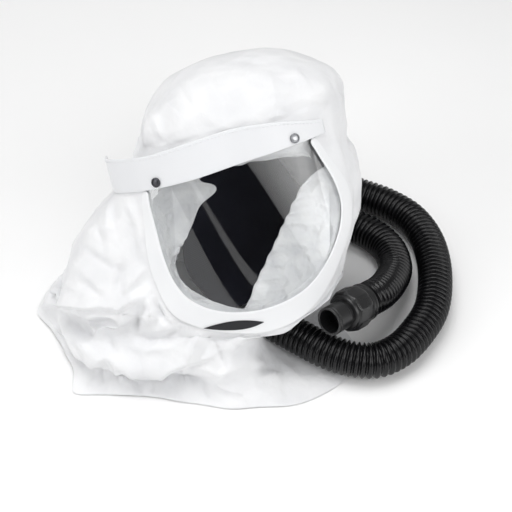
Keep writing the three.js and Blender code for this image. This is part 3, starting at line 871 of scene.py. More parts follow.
def settle(piece: Piece, finish: Finish, slot: str, *nodes: str) -> Piece:
    """Dresses a piece, ties it to the part's body and reports it.

    Args:
        piece: The new piece.
        finish: Its finish.
        slot: Name of a material slot; not used.
        nodes: Solids of the part that it stands for.

    Returns:
        The piece.
    """
    piece.data.materials.append(finish.material())
    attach(piece, BODY)
    if nodes:
        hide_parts(*nodes)
    log.info("%s: %d faces for %s", piece.name, len(piece.data.polygons), ", ".join(nodes) or "trim")
    return piece


# Shape of the hood


@dataclass(frozen=True)
class HoodForm:
    """Sizes of the hood, in the head's own frame unless said otherwise, and its surfaces.

    Angles are in degrees from the front (-Y) towards the wearer's left (+X).

    Attributes:
        place: Where the head's frame stands in the part.
        turned: Yaw, recline and roll of the head in degrees.
        brow_z: Height where the side ends and the crown begins.
        crown_height: Rise of the crown.
        crown_lean: How far the top of the crown leans to the wearer's left.
        arc_radius: Radius that turns arc lengths on the front into angles.
        side_sections: Height, then the radius every 30 degrees.
        neck_seam: Height of the neck seam every 30 degrees.
        neck_centre: Centre of the cape on the surface.
        hem_z: Height of the hem.
        seam_turn: How far the cloth runs on below the seam before it turns into the cape.
        cape_sections: Angle, reach and height of three folds, and reach of the hem.
        folds: Angle, half width, height, half length and rise of the side's long folds.
        dome: Powers of the cosine by which the crown closes and of the sine by which it leans.
        gathers: Height in hundredths, number, climb and half climb of the gathers over the brow.
        dents: Angle, half width, climb, half climb and rise in hundredths of the crown's dents.
        tucks: Angle, half width and change of the four reaches where the cape is drawn in or pulled out.
        band_half: Half height of the brow band.
        band_gap: Distance of its back from the hood.
        band_tilt: Rise of the band's middle at the front, and its change towards the wearer's left.
        rim_widths: Width of the strip round the visor at its ends and at the chin.
        visor_edge: Arc length and height of the visor's edge, from the wearer's right round the chin.
    """

    place: Row = (34.65, 50.45, 192.0)
    turned: Row = (5.0, 31.0, 11.0)
    brow_z: float = 22.0
    crown_height: float = 70.0
    crown_lean: float = 12.0
    arc_radius: float = 113.0
    side_sections: Table = (
        (22, 94, 108, 128, 137, 131, 122, 118, 112, 101, 90, 98, 97),
        (-22, 97, 113, 126, 131, 128, 123, 121, 122, 130, 134, 122, 111),
        (-65, 99, 115, 131, 136, 128, 120, 116, 128, 168, 188, 133, 113),
        (-110, 101, 114, 123, 124, 118, 112, 107, 128, 188, 218, 144, 113),
        (-150, 100, 107, 104, 100, 101, 100, 97, 120, 190, 228, 152, 112),
        (-194, 92, 90, 80, 76, 84, 88, 88, 112, 180, 228, 152, 102),
    )
    neck_seam: Row = (-193, -184, -168, -164, -162, -154, -148, -136, -124, -126, -150, -186)
    neck_centre: Row = (45.65, -19.55)
    hem_z: float = 1.65
    seam_turn: float = 5.0
    cape_sections: Table = (
        (0, 112, 62, 124, 36, 134, 14, 151),
        (30, 76, 54, 58, 26, 80, 5, 158),
        (60, 72, 52, 62, 20, 82, 5, 152),
        (90, 84, 36, 80, 14, 84, 5, 96),
        (120, 92, 24, 90, 10, 94, 5, 102),
        (150, 106, 15, 120, 6, 136, 4, 150),
        (180, 106, 11, 124, 6, 145, 4, 165),
        (210, 122, 11, 138, 6, 155, 4, 170),
        (240, 172, 15, 180, 9, 187, 5, 196),
        (270, 208, 36, 213, 21, 219, 8, 229),
        (300, 168, 52, 202, 31, 188, 12, 215),
        (330, 126, 64, 143, 34, 126, 13, 152),
    )
    folds: Table = (
        (246, 9, -90, 60, 7), (268, 8, -70, 55, -7), (288, 8, -110, 45, 8), (304, 6, -130, 40, -6),
        (112, 10, -80, 60, 5), (150, 12, -60, 60, -5), (205, 12, -70, 60, 5),
    )
    dome: Pair = (0.92, 1.2)
    gathers: Row = (1.6, 12.0, 10.0, 14.0)
    dents: Table = (
        (292, 16, 40, 12, -6), (330, 14, 62, 12, 4), (40, 16, 50, 14, -5), (80, 26, 50, 18, -7),
        (215, 22, 45, 18, -6),
    )
    tucks: Table = (
        (286, 10, -4, -12, -14, -22), (306, 6, 0, 0, 2, 8), (297, 6, 0, 0, -3, -10),
        (306, 3, 0, 0, 0, 6), (271, 3, 4, 4, 3, 3), (278, 4, -2, -3, -3, -4), (334, 10, 0, 0, 0, 5),
        (10, 10, 0, 0, 0, -4),
    )
    band_half: float = 19.0
    band_gap: float = 0.8
    band_tilt: Row = (6.0, 9.0)
    rim_widths: Pair = (9.0, 26.0)
    visor_edge: Table = (
        (-103, -20), (-102, -38), (-100, -64), (-97, -92), (-91, -118), (-78, -142), (-54, -160),
        (-12, -168), (34, -162), (64, -146), (88, -120), (99, -90), (97, -58), (90, -30), (83, -8),
    )

    def to_part(self, points: Array) -> Array:
        """Points from the head's frame to the part's: rolled, reclined, turned, and put in place.

        Args:
            points: Points of any shape by 3.

        Returns:
            The points in the part's frame.
        """
        turns = [math.radians(a) for a in self.turned]
        (cy, cx, cr), (sy, sx, sr) = ([wave(a) for a in turns] for wave in (math.cos, math.sin))
        about_y = np.array([[cr, 0, -sr], [0, 1, 0], [sr, 0, cr]])
        about_x = np.array([[1, 0, 0], [0, cx, sx], [0, -sx, cx]])
        about_z = np.array([[cy, -sy, 0], [sy, cy, 0], [0, 0, 1]])
        return points @ (about_z @ about_x @ about_y).T + np.array(self.place)

    def side_radius(self, angle: Array, z: Array) -> Array:
        """Radius of the hood's side: spline round each section, spline between sections, plus its folds.

        Args:
            angle: Angles in degrees.
            z: Heights, as many as the angles.

        Returns:
            The radius at each place.
        """
        table = np.array(self.side_sections, dtype=float)
        heights, high = table[:, 0], z.ravel()
        k = np.clip(np.searchsorted(-heights, -high, side="left") - 1, 0, len(heights) - 2)
        part = (heights[k] - high) / (heights[k] - heights[k + 1])
        share = np.clip((k + part) / (len(heights) - 1), 0.0, 1.0)
        rings = np.stack([ring_spline(row[1:], angle.ravel()) for row in table])
        radius = spline(rings, share).reshape(angle.shape)
        for at, spread, middle, reach, rise in self.folds:
            radius = radius + rise * bell(turn(angle, at), spread) * bell(z - middle, reach)
        return radius

    def side_point(self, angle: Array, z: Array, offset: Array | float = 0.0) -> Array:
        """Points of the side at an offset outwards."""
        return ring_point(self.side_radius(angle, z) + offset, angle, z)

    def front_point(self, arc: Array, z: Array, offset: Array | float = 0.0) -> Array:
        """Points of the front at an arc length and height."""
        return self.side_point(np.degrees(arc / self.arc_radius), z, offset)

    def crown_point(self, angle: Array, climb: Array) -> Array:
        """Points of the crown: a dome over the brow's section that leans, gathers and dents.

        Args:
            angle: Angles in degrees.
            climb: Climb from 0 at the brow to 90 at the top.

        Returns:
            Points in the head's frame.
        """
        base = self.side_point(angle, np.full_like(angle, self.brow_z))
        c = np.radians(climb)
        inward = np.where(climb < 89.99, np.abs(np.cos(c)) ** self.dome[0], 0.0)
        high, count, middle, reach = self.gathers
        rise = high * np.cos(np.radians(angle * count)) * bell(climb - middle, reach)
        for at, spread, middle, reach, depth in self.dents:
            rise = rise + depth * bell(turn(angle, at), spread) * bell(climb - middle, reach)
        swell = 1 + inward * rise / 100
        x = base[:, 0] * inward * swell + self.crown_lean * np.sin(c) ** self.dome[1]
        z = self.brow_z + self.crown_height * np.sin(c) * swell
        return np.stack([x, base[:, 1] * inward * swell, z], axis=-1)

    def band_middle(self, angle: Array) -> Array:
        """Height of the brow band's middle: its rise plus its tilt times sin(angle)."""
        return self.band_tilt[0] + self.band_tilt[1] * np.sin(np.radians(angle))

    def band_point(self, angle: Array, height: Array, offset: Array | float) -> Array:
        """Points of the brow band, which clears the hood over its whole height.

        Args:
            angle: Angles in degrees.
            height: Heights from the band's middle.
            offset: Distance from the band's back.

        Returns:
            Points in the head's frame.
        """
        middle = self.band_middle(angle)
        steps = (-1, -0.5, 0, 0.5, 1)
        radius = np.max([self.side_radius(angle, middle + k * self.band_half) for k in steps], axis=0)
        return ring_point(radius + self.band_gap + offset, angle, middle + height)

    def seam_z(self, angle: Array) -> Array:
        """Height of the neck seam at an angle."""
        return ring_spline(self.neck_seam, angle)

    def shell_point(self, angle: Array, share: Array) -> Array:
        """Points of the side and crown: share 0 at the neck seam, 1 at the brow, and 2 at the top.

        Args:
            angle: Angles in degrees.
            share: Place between the seam, the brow and the top.

        Returns:
            Points in the head's frame.
        """
        low = self.seam_z(angle)
        side = self.side_point(angle, lerp(low, self.brow_z, np.clip(share, 0.0, 1.0)))
        crown = self.crown_point(angle, np.clip(share - 1.0, 0.0, 1.0) * 90.0)
        return np.where((share > 1.0)[:, None], crown, side)

    def cape_point(self, angle: Array, share: Array) -> Array:
        """Points of the cape in the part's frame: a spline from the hem over three folds to the neck seam.

        Args:
            angle: Angles in degrees.
            share: 0 at the hem and 1 at the seam.

        Returns:
            Points in the part's frame.
        """
        table = np.array(self.cape_sections, dtype=float)
        reach1, z1, reach2, z2, reach3, z3, hem = (ring_spline(c, angle) for c in table[:, 1:].T)
        for at, spread, *change in self.tucks:
            pull = bell(turn(angle, at), spread)
            pairs = zip((reach1, reach2, reach3, hem), change)
            reach1, reach2, reach3, hem = (old + by * pull for old, by in pairs)

        def ring(reach: Array, z: Array) -> Array:
            """Points round the neck's centre."""
            return ring_point(reach, angle, z) + np.array([*self.neck_centre, 0.0])

        seam = self.to_part(self.shell_point(angle, np.zeros_like(angle)))
        above = self.to_part(self.shell_point(angle, np.full_like(angle, 0.02)))
        under = seam - unit(above - seam) * self.seam_turn
        low = np.full_like(angle, self.hem_z)
        rings = [ring(hem, low), ring(reach3, z3), ring(reach2, z2), ring(reach1, z1)]
        points = spline(np.stack([*rings, under, seam]), share)
        points[:, 2] = np.maximum(points[:, 2], self.hem_z)
        return points

    def visor_edge_at(self, share: Array, grow: Array | float) -> Array:
        """Arc length and height of the visor's edge, grown outwards on the surface.

        Args:
            share: Shares of the edge's length.
            grow: Distance outwards.

        Returns:
            Arc length and height at each place.
        """
        edge, along = Route(np.array(self.visor_edge, dtype=float)).even(share)
        outward = np.stack([along[:, 1], -along[:, 0]], axis=-1)
        return edge + outward * np.broadcast_to(grow, share.shape)[:, None]

    def rim_width(self, share: Array) -> Array:
        """Width of the strip round the visor: from its ends' width to the chin's by sin(pi share)^1.3."""
        return lerp(self.rim_widths[0], self.rim_widths[1], np.sin(np.pi * share) ** 1.3)

    def inside_visor(self, angle: Array, z: Array, grow: float) -> Array:
        """Which places of the side lie inside the visor's outline, by the even-odd rule.

        Args:
            angle: Angles in degrees.
            z: Heights.
            grow: Distance that the outline is grown by.

        Returns:
            A truth value for each place.
        """
        x, y = (np.radians(turn(angle, 0.0)) * self.arc_radius).ravel(), z.ravel()
        ring = self.visor_edge_at(np.linspace(0.0, 1.0, 90), grow)
        after = np.roll(ring, -1, axis=0)
        crosses = (ring[:, 1] > y[:, None]) != (after[:, 1] > y[:, None])
        span = np.where(np.abs(after[:, 1] - ring[:, 1]) < TINY, TINY, after[:, 1] - ring[:, 1])
        meets = ring[:, 0] + (y[:, None] - ring[:, 1]) * (after[:, 0] - ring[:, 0]) / span
        return ((crosses & (x[:, None] < meets)).sum(axis=1) % 2 == 1).reshape(angle.shape)


# Sub-assemblies


@dataclass(frozen=True)
class Viewpoint:
    """Where the hood is looked at from.

    Attributes:
        eye: Place of the eye in millimetres.
        tilt: How far it looks down, in degrees.
        reach: Distance to the plane through the hood's middle, on which the folds are drawn.
    """

    eye: Row = (65.65, -1193.7, 1180.3)
    tilt: float = 43.0
    reach: float = 1553.9

    def seen(self, points: Array) -> Array:
        """Points as seen: right and up in millimetres on the plane through the hood's middle.

        Args:
            points: Points, one row each.

        Returns:
            Right and up of each point.
        """
        t = math.radians(self.tilt)
        ahead = np.array([0.0, math.cos(t), -math.sin(t)])
        up = np.array([0.0, math.sin(t), math.cos(t)])
        away = points - np.array(self.eye)
        scale = self.reach / (away @ ahead)
        return np.stack([away[:, 0] * scale, (away @ up) * scale], axis=-1)

    def facing(self, points: Array, normals: Array) -> Array:
        """How far each point faces the eye: twice the cosine to it, from 0 to 1."""
        return np.clip(2.0 * (unit(np.array(self.eye) - points) * normals).sum(axis=-1), 0.0, 1.0)


@dataclass(frozen=True)
class Fold:
    """One fold of the cloth, drawn as seen from the viewpoint.

    Attributes:
        line: Points of its crest, right and up in millimetres.
        left: Width of the flank on the left of the line's run.
        right: Width of the flank on its right.
        rise: Height of the crest; less than 0 is a valley.
    """

    line: tuple[Pair, ...]
    left: float
    right: float
    rise: float

    def height(self, seen: Array) -> Array:
        """Height of the fold: the crest times (1 - distance / width)^1.4, easing at both ends of its run.

        Args:
            seen: Places as seen, right and up.

        Returns:
            The height at each place.
        """
        knots = np.array(self.line, dtype=float)
        lengths = np.linalg.norm(np.diff(knots, axis=0), axis=1)
        near, side, run = np.full(len(seen), FAR), np.zeros(len(seen)), np.zeros(len(seen))
        starts = np.cumsum(lengths) - lengths
        for start, end, before, length in zip(knots[:-1], knots[1:], starts, lengths):
            way, gone = end - start, seen - start
            t = np.clip(gone @ way / length**2, 0.0, 1.0)
            away = np.linalg.norm(gone - t[:, None] * way, axis=1)
            closer = away < near
            side = np.where(closer, way[0] * gone[:, 1] - way[1] * gone[:, 0], side)
            run = np.where(closer, before + t * length, run)
            near = np.where(closer, away, near)
        ease = np.clip(np.minimum(run, lengths.sum() - run) / (0.3 * lengths.sum()), 0.15, 1.0)
        width = np.where(side > 0.0, self.left, self.right)
        return self.rise * np.clip(1.0 - near / width, 0.0, 1.0) ** 1.4 * ease**0.6


# Widths of the left and right flank, rise, then right and up of each point of the crest
FOLD_ROWS: Table = (
    # Tier
    (26, 5, 12, -233, -54, -212, -52, -160, -55),
    (18, 6, 10, -160, -55, -146, -56, -132, -47, -117, -40),
    (22, 5, 10, -187, -122, -159, -111, -138, -122, -117, -129, -88, -119, -61, -112, -44, -106),
    # Peaks beside the chin
    (12, 14, 12, -114, -38, -134, -57, -150, -73, -169, -87), (9, 8, -7, -126, -58, -131, -84),
    (8, 9, 9, -114, -39, -111, -58, -114, -72), (8, 8, 8, -103, -41, -89, -66),
    (6, 6, -6, -107, -50, -97, -70), (9, 12, -7, -134, -82, -113, -90, -94, -87, -80, -78),
    (12, 10, 4, -148, -92, -120, -100, -86, -97),
    # Hollow under the first tier
    (9, 13, 8, -224, -64, -208, -80, -195, -92, -170, -111),
    (9, 12, -9, -207, -61, -188, -77, -167, -88), (8, 8, 6, -177, -66, -169, -85, -150, -76),
    (9, 9, -6, -203, -79, -190, -103, -184, -118), (7, 7, -4, -158, -88, -150, -104),
    # Side
    (7, 11, 5, -159, 71, -157, 22), (8, 8, 4.5, -140, 66, -128, 40, -118, 2),
    (5, 5, -3, -131, 68, -122, 36), (10, 14, 4, -190, 27, -148, 32), (8, 9, -3.5, -176, 52, -164, 8),
    (9, 14, 8, -111, -7, -126, -21, -143, -43), (10, 10, -5, -146, -6, -147, -41),
    (16, 16, 5, -201, 2, -168, -34), (9, 9, -4, -186, 8, -150, -16), (8, 8, 5, -124, 22, -116, -6),
    (8, 8, -5, -180, -31, -167, -43, -172, -51), (8, 8, 4, -206, -28, -184, -38),
    (8, 8, 3, 95, 81, 100, 33), (7, 7, 3, 85, 6, 96, 30),
    # Skirt
    (6, 6, 6, -157, -112, -144, -126, -138, -142), (5, 6, -4, -166, -116, -164, -140),
    (5, 5, 4, -150, -118, -152, -142), (6, 7, 6, -96, -131, -92, -144),
    (6, 6, -4, -112, -133, -108, -148), (6, 6, 5, -78, -119, -74, -142),
    (11, 11, 8, -56, -80, -72, -112), (10, 12, 6, -13, -86, -29, -104), (10, 10, 6, 9, -96, 46, -131),
    (8, 10, 5, -2, -131, 51, -125), (8, 8, 5, -45, -136, -13, -150),
    (6, 8, 5, -62, -118, -40, -128, -24, -122), (7, 8, 4, -8, -112, 22, -116),
    (9, 9, -6, -44, -90, -32, -123), (9, 9, -5, 24, -103, 6, -124), (6, 6, -5, -129, -133, -124, -148),
    (7, 7, 5, -172, -128, -178, -143), (6, 6, -4, -58, -138, -52, -152), (7, 7, -4, 30, -134, 36, -150),
    # Crown
    (9, 6, 7, -72, 121, -31, 135, 0, 142), (10, 5, 5, -97, 111, -60, 125),
    (5, 5, 3.5, 59, 152, 66, 141), (12, 12, 3, -55, 197, -36, 167), (14, 14, 2.4, -6, 208, -17, 172),
    (14, 14, 2.8, 36, 210, 58, 178), (12, 12, 3, -103, 167, -76, 146), (10, 10, 3.4, 77, 154, 96, 93),
    (12, 12, -2.4, 10, 167, 47, 172), (8, 8, 3, -112, 158, -100, 124), (8, 8, -2.4, -84, 184, -66, 156),
    (9, 9, 2, 14, 196, 24, 156), (8, 8, -2.4, 66, 176, 84, 132),
)
FOLDS = tuple(Fold(tuple(zip(row[3::2], row[4::2])), *row[:3]) for row in FOLD_ROWS)


@dataclass
class HoodCloth:
    """Soft white cloth of the crown, sides and cape, in one sheet with the visor's opening cut out.

    Attributes:
        form: The hood's shape.
        view: Where its folds are drawn from.
        columns: Quads round the hood.
        cape_rows: Rows from the hem to the neck seam.
        side_rows: Rows from the seam to the brow.
        crown_rows: Rows from the brow to the top.
        flat: Width and length that the cloth was cut from, in metres.
        tuck: How far the opening's edge is cut back under the rim.
        rim_hold: Distance from the rim where the cloth is still held, and over which it then comes free.
        front_hold: The same for the angle from the middle of the brow band.
        band_hold: The same for the height from the middle of the brow band.
        hose_hold: The same for the distance from the hose's middle line.
        opening: How far outside the visor's edge the cloth is held altogether.
        ease: Strength, angle, half width, share and half share of the eased crease at the neck seam.
        ease_rounds: Rounds of that easing.
        slack: How much the cape, the side and the crown crease, and how much more where they face away.
        creases: Height, seed, number and wavelengths of the large and the small creases.
        drawn_in: How far the hose's side hangs in, and the angle, half width, share and half share of that.
        hangs: Angle, lean, half width and height of each long fold at the sides and back.
    """

    form: HoodForm
    view: Viewpoint
    columns: int = 420
    cape_rows: int = 72
    side_rows: int = 92
    crown_rows: int = 52
    flat: Pair = (0.95, 0.46)
    tuck: float = 3.0
    rim_hold: Pair = (2.0, 11.0)
    front_hold: Pair = (72.0, 14.0)
    band_hold: Pair = (22.0, 12.0)
    hose_hold: Pair = (28.0, 25.0)
    opening: float = 12.0
    ease: Row = (0.5, -42.0, 24.0, -0.06, 0.16)
    ease_rounds: int = 40
    slack: Row = (1.0, 0.8, 0.4, 0.9)
    creases: tuple[tuple[float, int, int, Pair], ...] = (
        (2.2, 5, 5, (42.0, 110.0)),
        (1.0, 11, 6, (15.0, 36.0)),
    )
    drawn_in: Row = (7.0, 88.0, 30.0, 0.35, 0.42)
    hangs: Table = (
        (70, 9, 7, 4), (82, 16, 6, -4), (97, 10, 8, 5), (112, -9, 7, -5), (128, 12, 9, 6),
        (143, 4, 6, -4), (158, -14, 8, 5.5), (173, 6, 7, -5), (189, 13, 9, 6), (205, -8, 6, -4.5),
        (219, 8, 8, 5.5), (236, -12, 7, -5), (251, 7, 8, 5),
    )

    def base(self) -> tuple[Array, Array, Array]:
        """Smooth grid of the cloth.

        Returns:
            The grid in the part's frame, and each point's angle and share: share is -1 at the hem, 0 at the
            neck seam, 1 at the brow and 2 at the top.
        """
        cape = np.linspace(-1.0, 0.0, self.cape_rows, endpoint=False)
        side = np.linspace(0.0, 1.0, self.side_rows, endpoint=False)
        shares = np.concatenate([cape, side, np.linspace(1.0, 2.0, self.crown_rows)])
        angles = self.column_angles()
        angle, share = (g.ravel() for g in np.meshgrid(angles, shares))
        cape = self.form.cape_point(angle, np.clip(share + 1.0, 0.0, 1.0))
        shell = self.form.to_part(self.form.shell_point(angle, np.clip(share, 0.0, 2.0)))
        points = np.where((share < 0.0)[:, None], cape, shell)
        shape = (len(shares), self.columns)
        return points.reshape(*shape, 3), angle.reshape(shape), share.reshape(shape)

    def column_angles(self) -> Array:
        """Angles of the columns, closer at the wearer's right: density 1 + 1.8 exp(-((a + 75) / 62)^2).

        Returns:
            The angles in degrees.
        """
        fine = np.linspace(0.0, 360.0, 1441)
        density = 1.0 + 1.8 * bell(turn(fine, -75.0), 62.0)
        run = np.concatenate([[0.0], np.cumsum(0.5 * (density[1:] + density[:-1]))])
        return np.interp(np.arange(self.columns) / self.columns * run[-1], run, fine)

    def height(self, angle: Array, share: Array) -> Array:
        """Height in the head's frame on the side; the crown and the cape get heights past its ends."""
        side = lerp(self.form.seam_z(angle), self.form.brow_z, share)
        return np.where(share < 0.0, -BEYOND, np.where(share > 1.0, BEYOND, side))

    def freedom(self, points: Array, angle: Array, share: Array, hose: Array) -> Array:
        """How far the cloth may leave its smooth shape, from 0 where it is held to 1.

        It is held under the rim and the brow band, at the hem, at the top's pole and beside the hose.

        Args:
            points: Grid of the cloth.
            angle: Angle of each point.
            share: Share of each point.
            hose: Points of the hose's middle line.

        Returns:
            A value for each point.
        """
        z = self.height(angle, share)
        arc = np.radians(turn(angle, 0.0)) * self.form.arc_radius
        along = np.linspace(0.0, 1.0, 120)
        edge = self.form.visor_edge_at(along, self.form.rim_width(along))
        near = nearest(np.stack([arc, z], axis=-1).reshape(-1, 2), edge)
        rim = ramp(near.reshape(angle.shape), self.rim_hold)
        front = ramp(np.abs(turn(angle, -22.5)), self.front_hold)
        over = np.where(share > 1.0, (share - 1.0) * 110.0 + self.form.brow_z, z)
        off_band = ramp(np.abs(over - self.form.band_middle(angle)), self.band_hold)
        inside = self.form.inside_visor(angle, z, self.opening)
        free = rim * np.maximum(front, off_band) * ~inside
        free = free * ramp(share, (-1.0, 0.08)) ** 0.5 * np.clip((2.0 - share) / 0.3, 0.15, 1.0)
        beside = nearest(points.reshape(-1, 3), hose[::6])
        return free * ramp(beside.reshape(angle.shape), self.hose_hold)

    def eased(self, points: Array, angle: Array, share: Array) -> Array:
        """Cloth with the neck seam's inward crease eased beside the chin, where it hangs free.

        Each round moves a point towards the middle of its neighbours in the rows above and below.

        Args:
            points: Grid of the cloth.
            angle: Angle of each point.
            share: Share of each point.

        Returns:
            The eased grid.
        """
        strength, at, wide, level, reach = self.ease
        give = strength * bell(turn(angle, at), wide) * bell(share - level, reach)
        for _ in range(self.ease_rounds):
            middle = 0.5 * (points[:-2] + points[2:])
            moved = lerp(points[1:-1], middle, give[1:-1, :, None])
            points = np.concatenate([points[:1], moved, points[-1:]])
        return points

    def drawn(self, points: Array, outward: Array) -> Array:
        """Height of the drawn folds, on the side that faces the viewpoint.

        Args:
            points: Grid of the cloth.
            outward: Its normals.

        Returns:
            A height for each point.
        """
        flat = points.reshape(-1, 3)
        seen = self.view.seen(flat)
        total = sum(fold.height(seen) for fold in FOLDS)
        return (total * self.view.facing(flat, outward.reshape(-1, 3))).reshape(points.shape[:2])

    def hanging(self, angle: Array, share: Array) -> Array:
        """Height of the long folds that hang at the sides and back, from the crown to the hem.

        Each is a crest of (1 - distance / width)^1.4 along an angle that leans with the share.

        Args:
            angle: Angle of each point.
            share: Share of each point.

        Returns:
            A height for each point.
        """
        total = np.zeros_like(angle)
        for k, (at, lean, width, rise) in enumerate(self.hangs):
            sway = 4.0 * np.sin(2.6 * share + 1.7 * k)
            away = np.abs(turn(angle - lean * (share - 0.5) - sway, at))
            run = np.clip((share + 0.9 - 0.25 * (k % 3)) / (2.0 + 0.2 * (k % 2)), 0.0, 1.0)
            total += rise * np.clip(1.0 - away / width, 0.0, 1.0) ** 1.4 * np.sin(np.pi * run) ** 0.7
        return total

    def build(self, hose: Array) -> None:
        """Builds, folds and dresses the cloth.

        Args:
            hose: Points of the hose's middle line.
        """
        points, angle, share = self.base()
        points = self.eased(points, angle, share)
        free = self.freedom(points, angle, share, hose)
        outward = normals_of(points)
        away = 1.0 - self.view.facing(points.reshape(-1, 3), outward.reshape(-1, 3)).reshape(angle.shape)
        cape, side, crown, more = self.slack
        slack = np.where(share < 0.0, cape, np.where(share > 1.0, crown, side)) * (1.0 + more * away)
        rise = slack * sum(high * crumple(points, *waves) for high, *waves in self.creases)
        rise = rise + self.drawn(points, outward) + away * self.hanging(angle, share)
        pull, at, wide, level, reach = self.drawn_in
        rise = rise - pull * bell(turn(angle, at), wide) * bell(share - level, reach)
        points = points + outward * (free * rise)[..., None]
        points[..., 2] = np.maximum(points[..., 2], self.form.hem_z)
        keep = ~self.form.inside_visor(angle, self.height(angle, share), self.tuck)
        quads = keep & np.roll(keep, -1, axis=1)
        quads = quads[:-1] & quads[1:]
        piece = grid_piece("hood_cloth", points, wrap=True, keep=quads, size=self.flat)
        settle(piece, HOOD_CLOTH, "cloth", "hood_shell", "hood_cape")


@dataclass
class Visor:
    """Clear sheet behind the opening, the white strip round it, and the bare plate on its chin.

    Attributes:
        form: The hood's shape.
        sheet_offset: Middle of the clear sheet behind the hood's face.
        sheet_half: Half thickness of the clear sheet.
        sheet_sink: How far the bent middle of the sheet lies under the polynomial nearest the hood's face.
        sheet_over: How far it may stand over the hood's face.
        tuck: How far the sheet goes under the edge of the opening.
        seat: Distance of the strip's back from the hood's face.
        rim_half: Half thickness of the strip.
        lip_stand: How far the strip's outer edge stands off at the chin.
        label_length: Length of the bare plate.
        label_half: Height of the plate above and below its long axis.
        label_place: Arc length and height of the plate's middle.
        label_slope: Rise of the plate along the arc.
    """

    form: HoodForm
    sheet_offset: float = -2.45
    sheet_half: float = 0.5
    sheet_sink: float = 4.5
    sheet_over: float = 1.3
    tuck: float = 7.0
    seat: float = 0.35
    rim_half: float = 1.0
    lip_stand: float = 2.5
    label_length: float = 62.5
    label_half: Pair = (4.0, 6.4)
    label_place: Pair = (-43.9, -177.8)
    label_slope: float = -0.136

    def sheet(self) -> None:
        """Clear sheet: a grid between the two halves of the outline, closed to a thin solid."""
        v, u = np.meshgrid(np.linspace(0.0, 1.0, 40), np.linspace(0.0, 1.0, 64), indexing="ij")
        right = self.form.visor_edge_at(v.ravel() * 0.5, self.tuck)
        left = self.form.visor_edge_at(1.0 - v.ravel() * 0.5, self.tuck)
        at = lerp(right, left, u.ravel()[:, None])
        at[:, 1] += np.where(v.ravel() == 0.0, self.tuck, 0.0)
        radius = self.smooth_radius(at[:, 0], at[:, 1])
        a = at[:, 0] / self.form.arc_radius
        faces = []
        for offset in (self.sheet_offset + self.sheet_half, self.sheet_offset - self.sheet_half):
            reach = radius + offset
            face = self.form.to_part(np.stack([reach * np.sin(a), -reach * np.cos(a), at[:, 1]], axis=-1))
            faces.append(face.reshape(*v.shape, 3))
        outer, inner = faces
        grid = np.concatenate([outer, inner[:, ::-1]], axis=1)
        piece = grid_piece("visor_sheet", folded(grid), wrap=True, size=(0.24, 0.18), crease=40.0)
        settle(piece, CLEAR_SHEET, "visor", "visor")

    def smooth_radius(self, arc: Array, z: Array) -> Array:
        """Radius of the bent sheet: the polynomial of power 2 nearest the hood's face, less the sink.

        Where that would stand out of the rim, at the corners, it follows the hood's face.

        Args:
            arc: Arc lengths.
            z: Heights.

        Returns:
            The radius at each place.
        """

        def face(arc: Array, z: Array) -> Array:
            """Radius of the hood's face."""
            return self.form.side_radius(np.degrees(arc / self.form.arc_radius), z)

        def terms(arc: Array, z: Array) -> Array:
            """Products of the powers of arc and height."""
            x, y = arc / 100.0, z / 85.0 + 1.0
            return np.stack([x**i * y**j for i in range(3) for j in range(3)], axis=1)

        places = np.linspace(-105.0, 101.0, 70), np.linspace(-170.0, 0.0, 60)
        across, up = (g.ravel() for g in np.meshgrid(*places))
        within = self.form.inside_visor(np.degrees(across / self.form.arc_radius), up, 0.0)
        across, up = across[within], up[within]
        weights = np.linalg.lstsq(terms(across, up), face(across, up), rcond=None)[0]
        return np.minimum(terms(arc, z) @ weights - self.sheet_sink, face(arc, z) + self.sheet_over)

    def stand_off(self, arc: Array, z: Array) -> Array:
        """Height of the strip's face at places on the chin, from the nearest place of the visor's edge.

        Args:
            arc: Arc lengths.
            z: Heights.

        Returns:
            The offset of the face from the hood.
        """
        share = np.linspace(0.0, 1.0, 400)
        edge = self.form.visor_edge_at(share, 0.0)
        away = np.linalg.norm(np.stack([arc, z], -1)[..., None, :] - edge, axis=-1)
        near = away.argmin(axis=-1)
        part = np.clip(away.min(axis=-1) / self.form.rim_width(share[near]), 0.0, 1.0)
        return self.seat + 2 * self.rim_half + self.lip_stand * np.sin(np.pi * share[near]) ** 3 * part**2

    def rim(self) -> None:
        """White strip: a rounded section along the visor's edge, flared at the chin."""
        share = np.linspace(0.0, 1.0, 220)
        across, high = rounded_loop(28, 0.45)
        end = np.minimum(1.0, np.minimum(share, 1.0 - share) / 0.006 + 0.02)
        width = self.form.rim_width(share)[:, None]
        grow = width * (0.5 + 0.5 * across[None] * end[:, None])
        chin = np.sin(np.pi * share[:, None]) ** 3
        flare = self.lip_stand * chin * np.clip(grow / width, 0.0, 1.0) ** 2
        bead = 0.25 * bell(grow - 2.5, 1.8)
        thin = lerp(1.0, 0.25, (1.0 - chin) * np.clip(grow / width, 0.0, 1.0))
        body = self.rim_half * thin * (1.0 + high[None] * end[:, None])
        offset = self.seat + body + flare + bead * (high[None] > 0)
        spot = np.stack([self.form.visor_edge_at(share, grow[:, k]) for k in range(grow.shape[1])], axis=1)
        points = capped(self.form.to_part(self.form.front_point(spot[..., 0], spot[..., 1], offset)))
        piece = grid_piece("rim_strip", points, wrap=True, size=(0.05, 0.55))
        settle(piece, RIM_PLASTIC, "rim", "visor_rim")

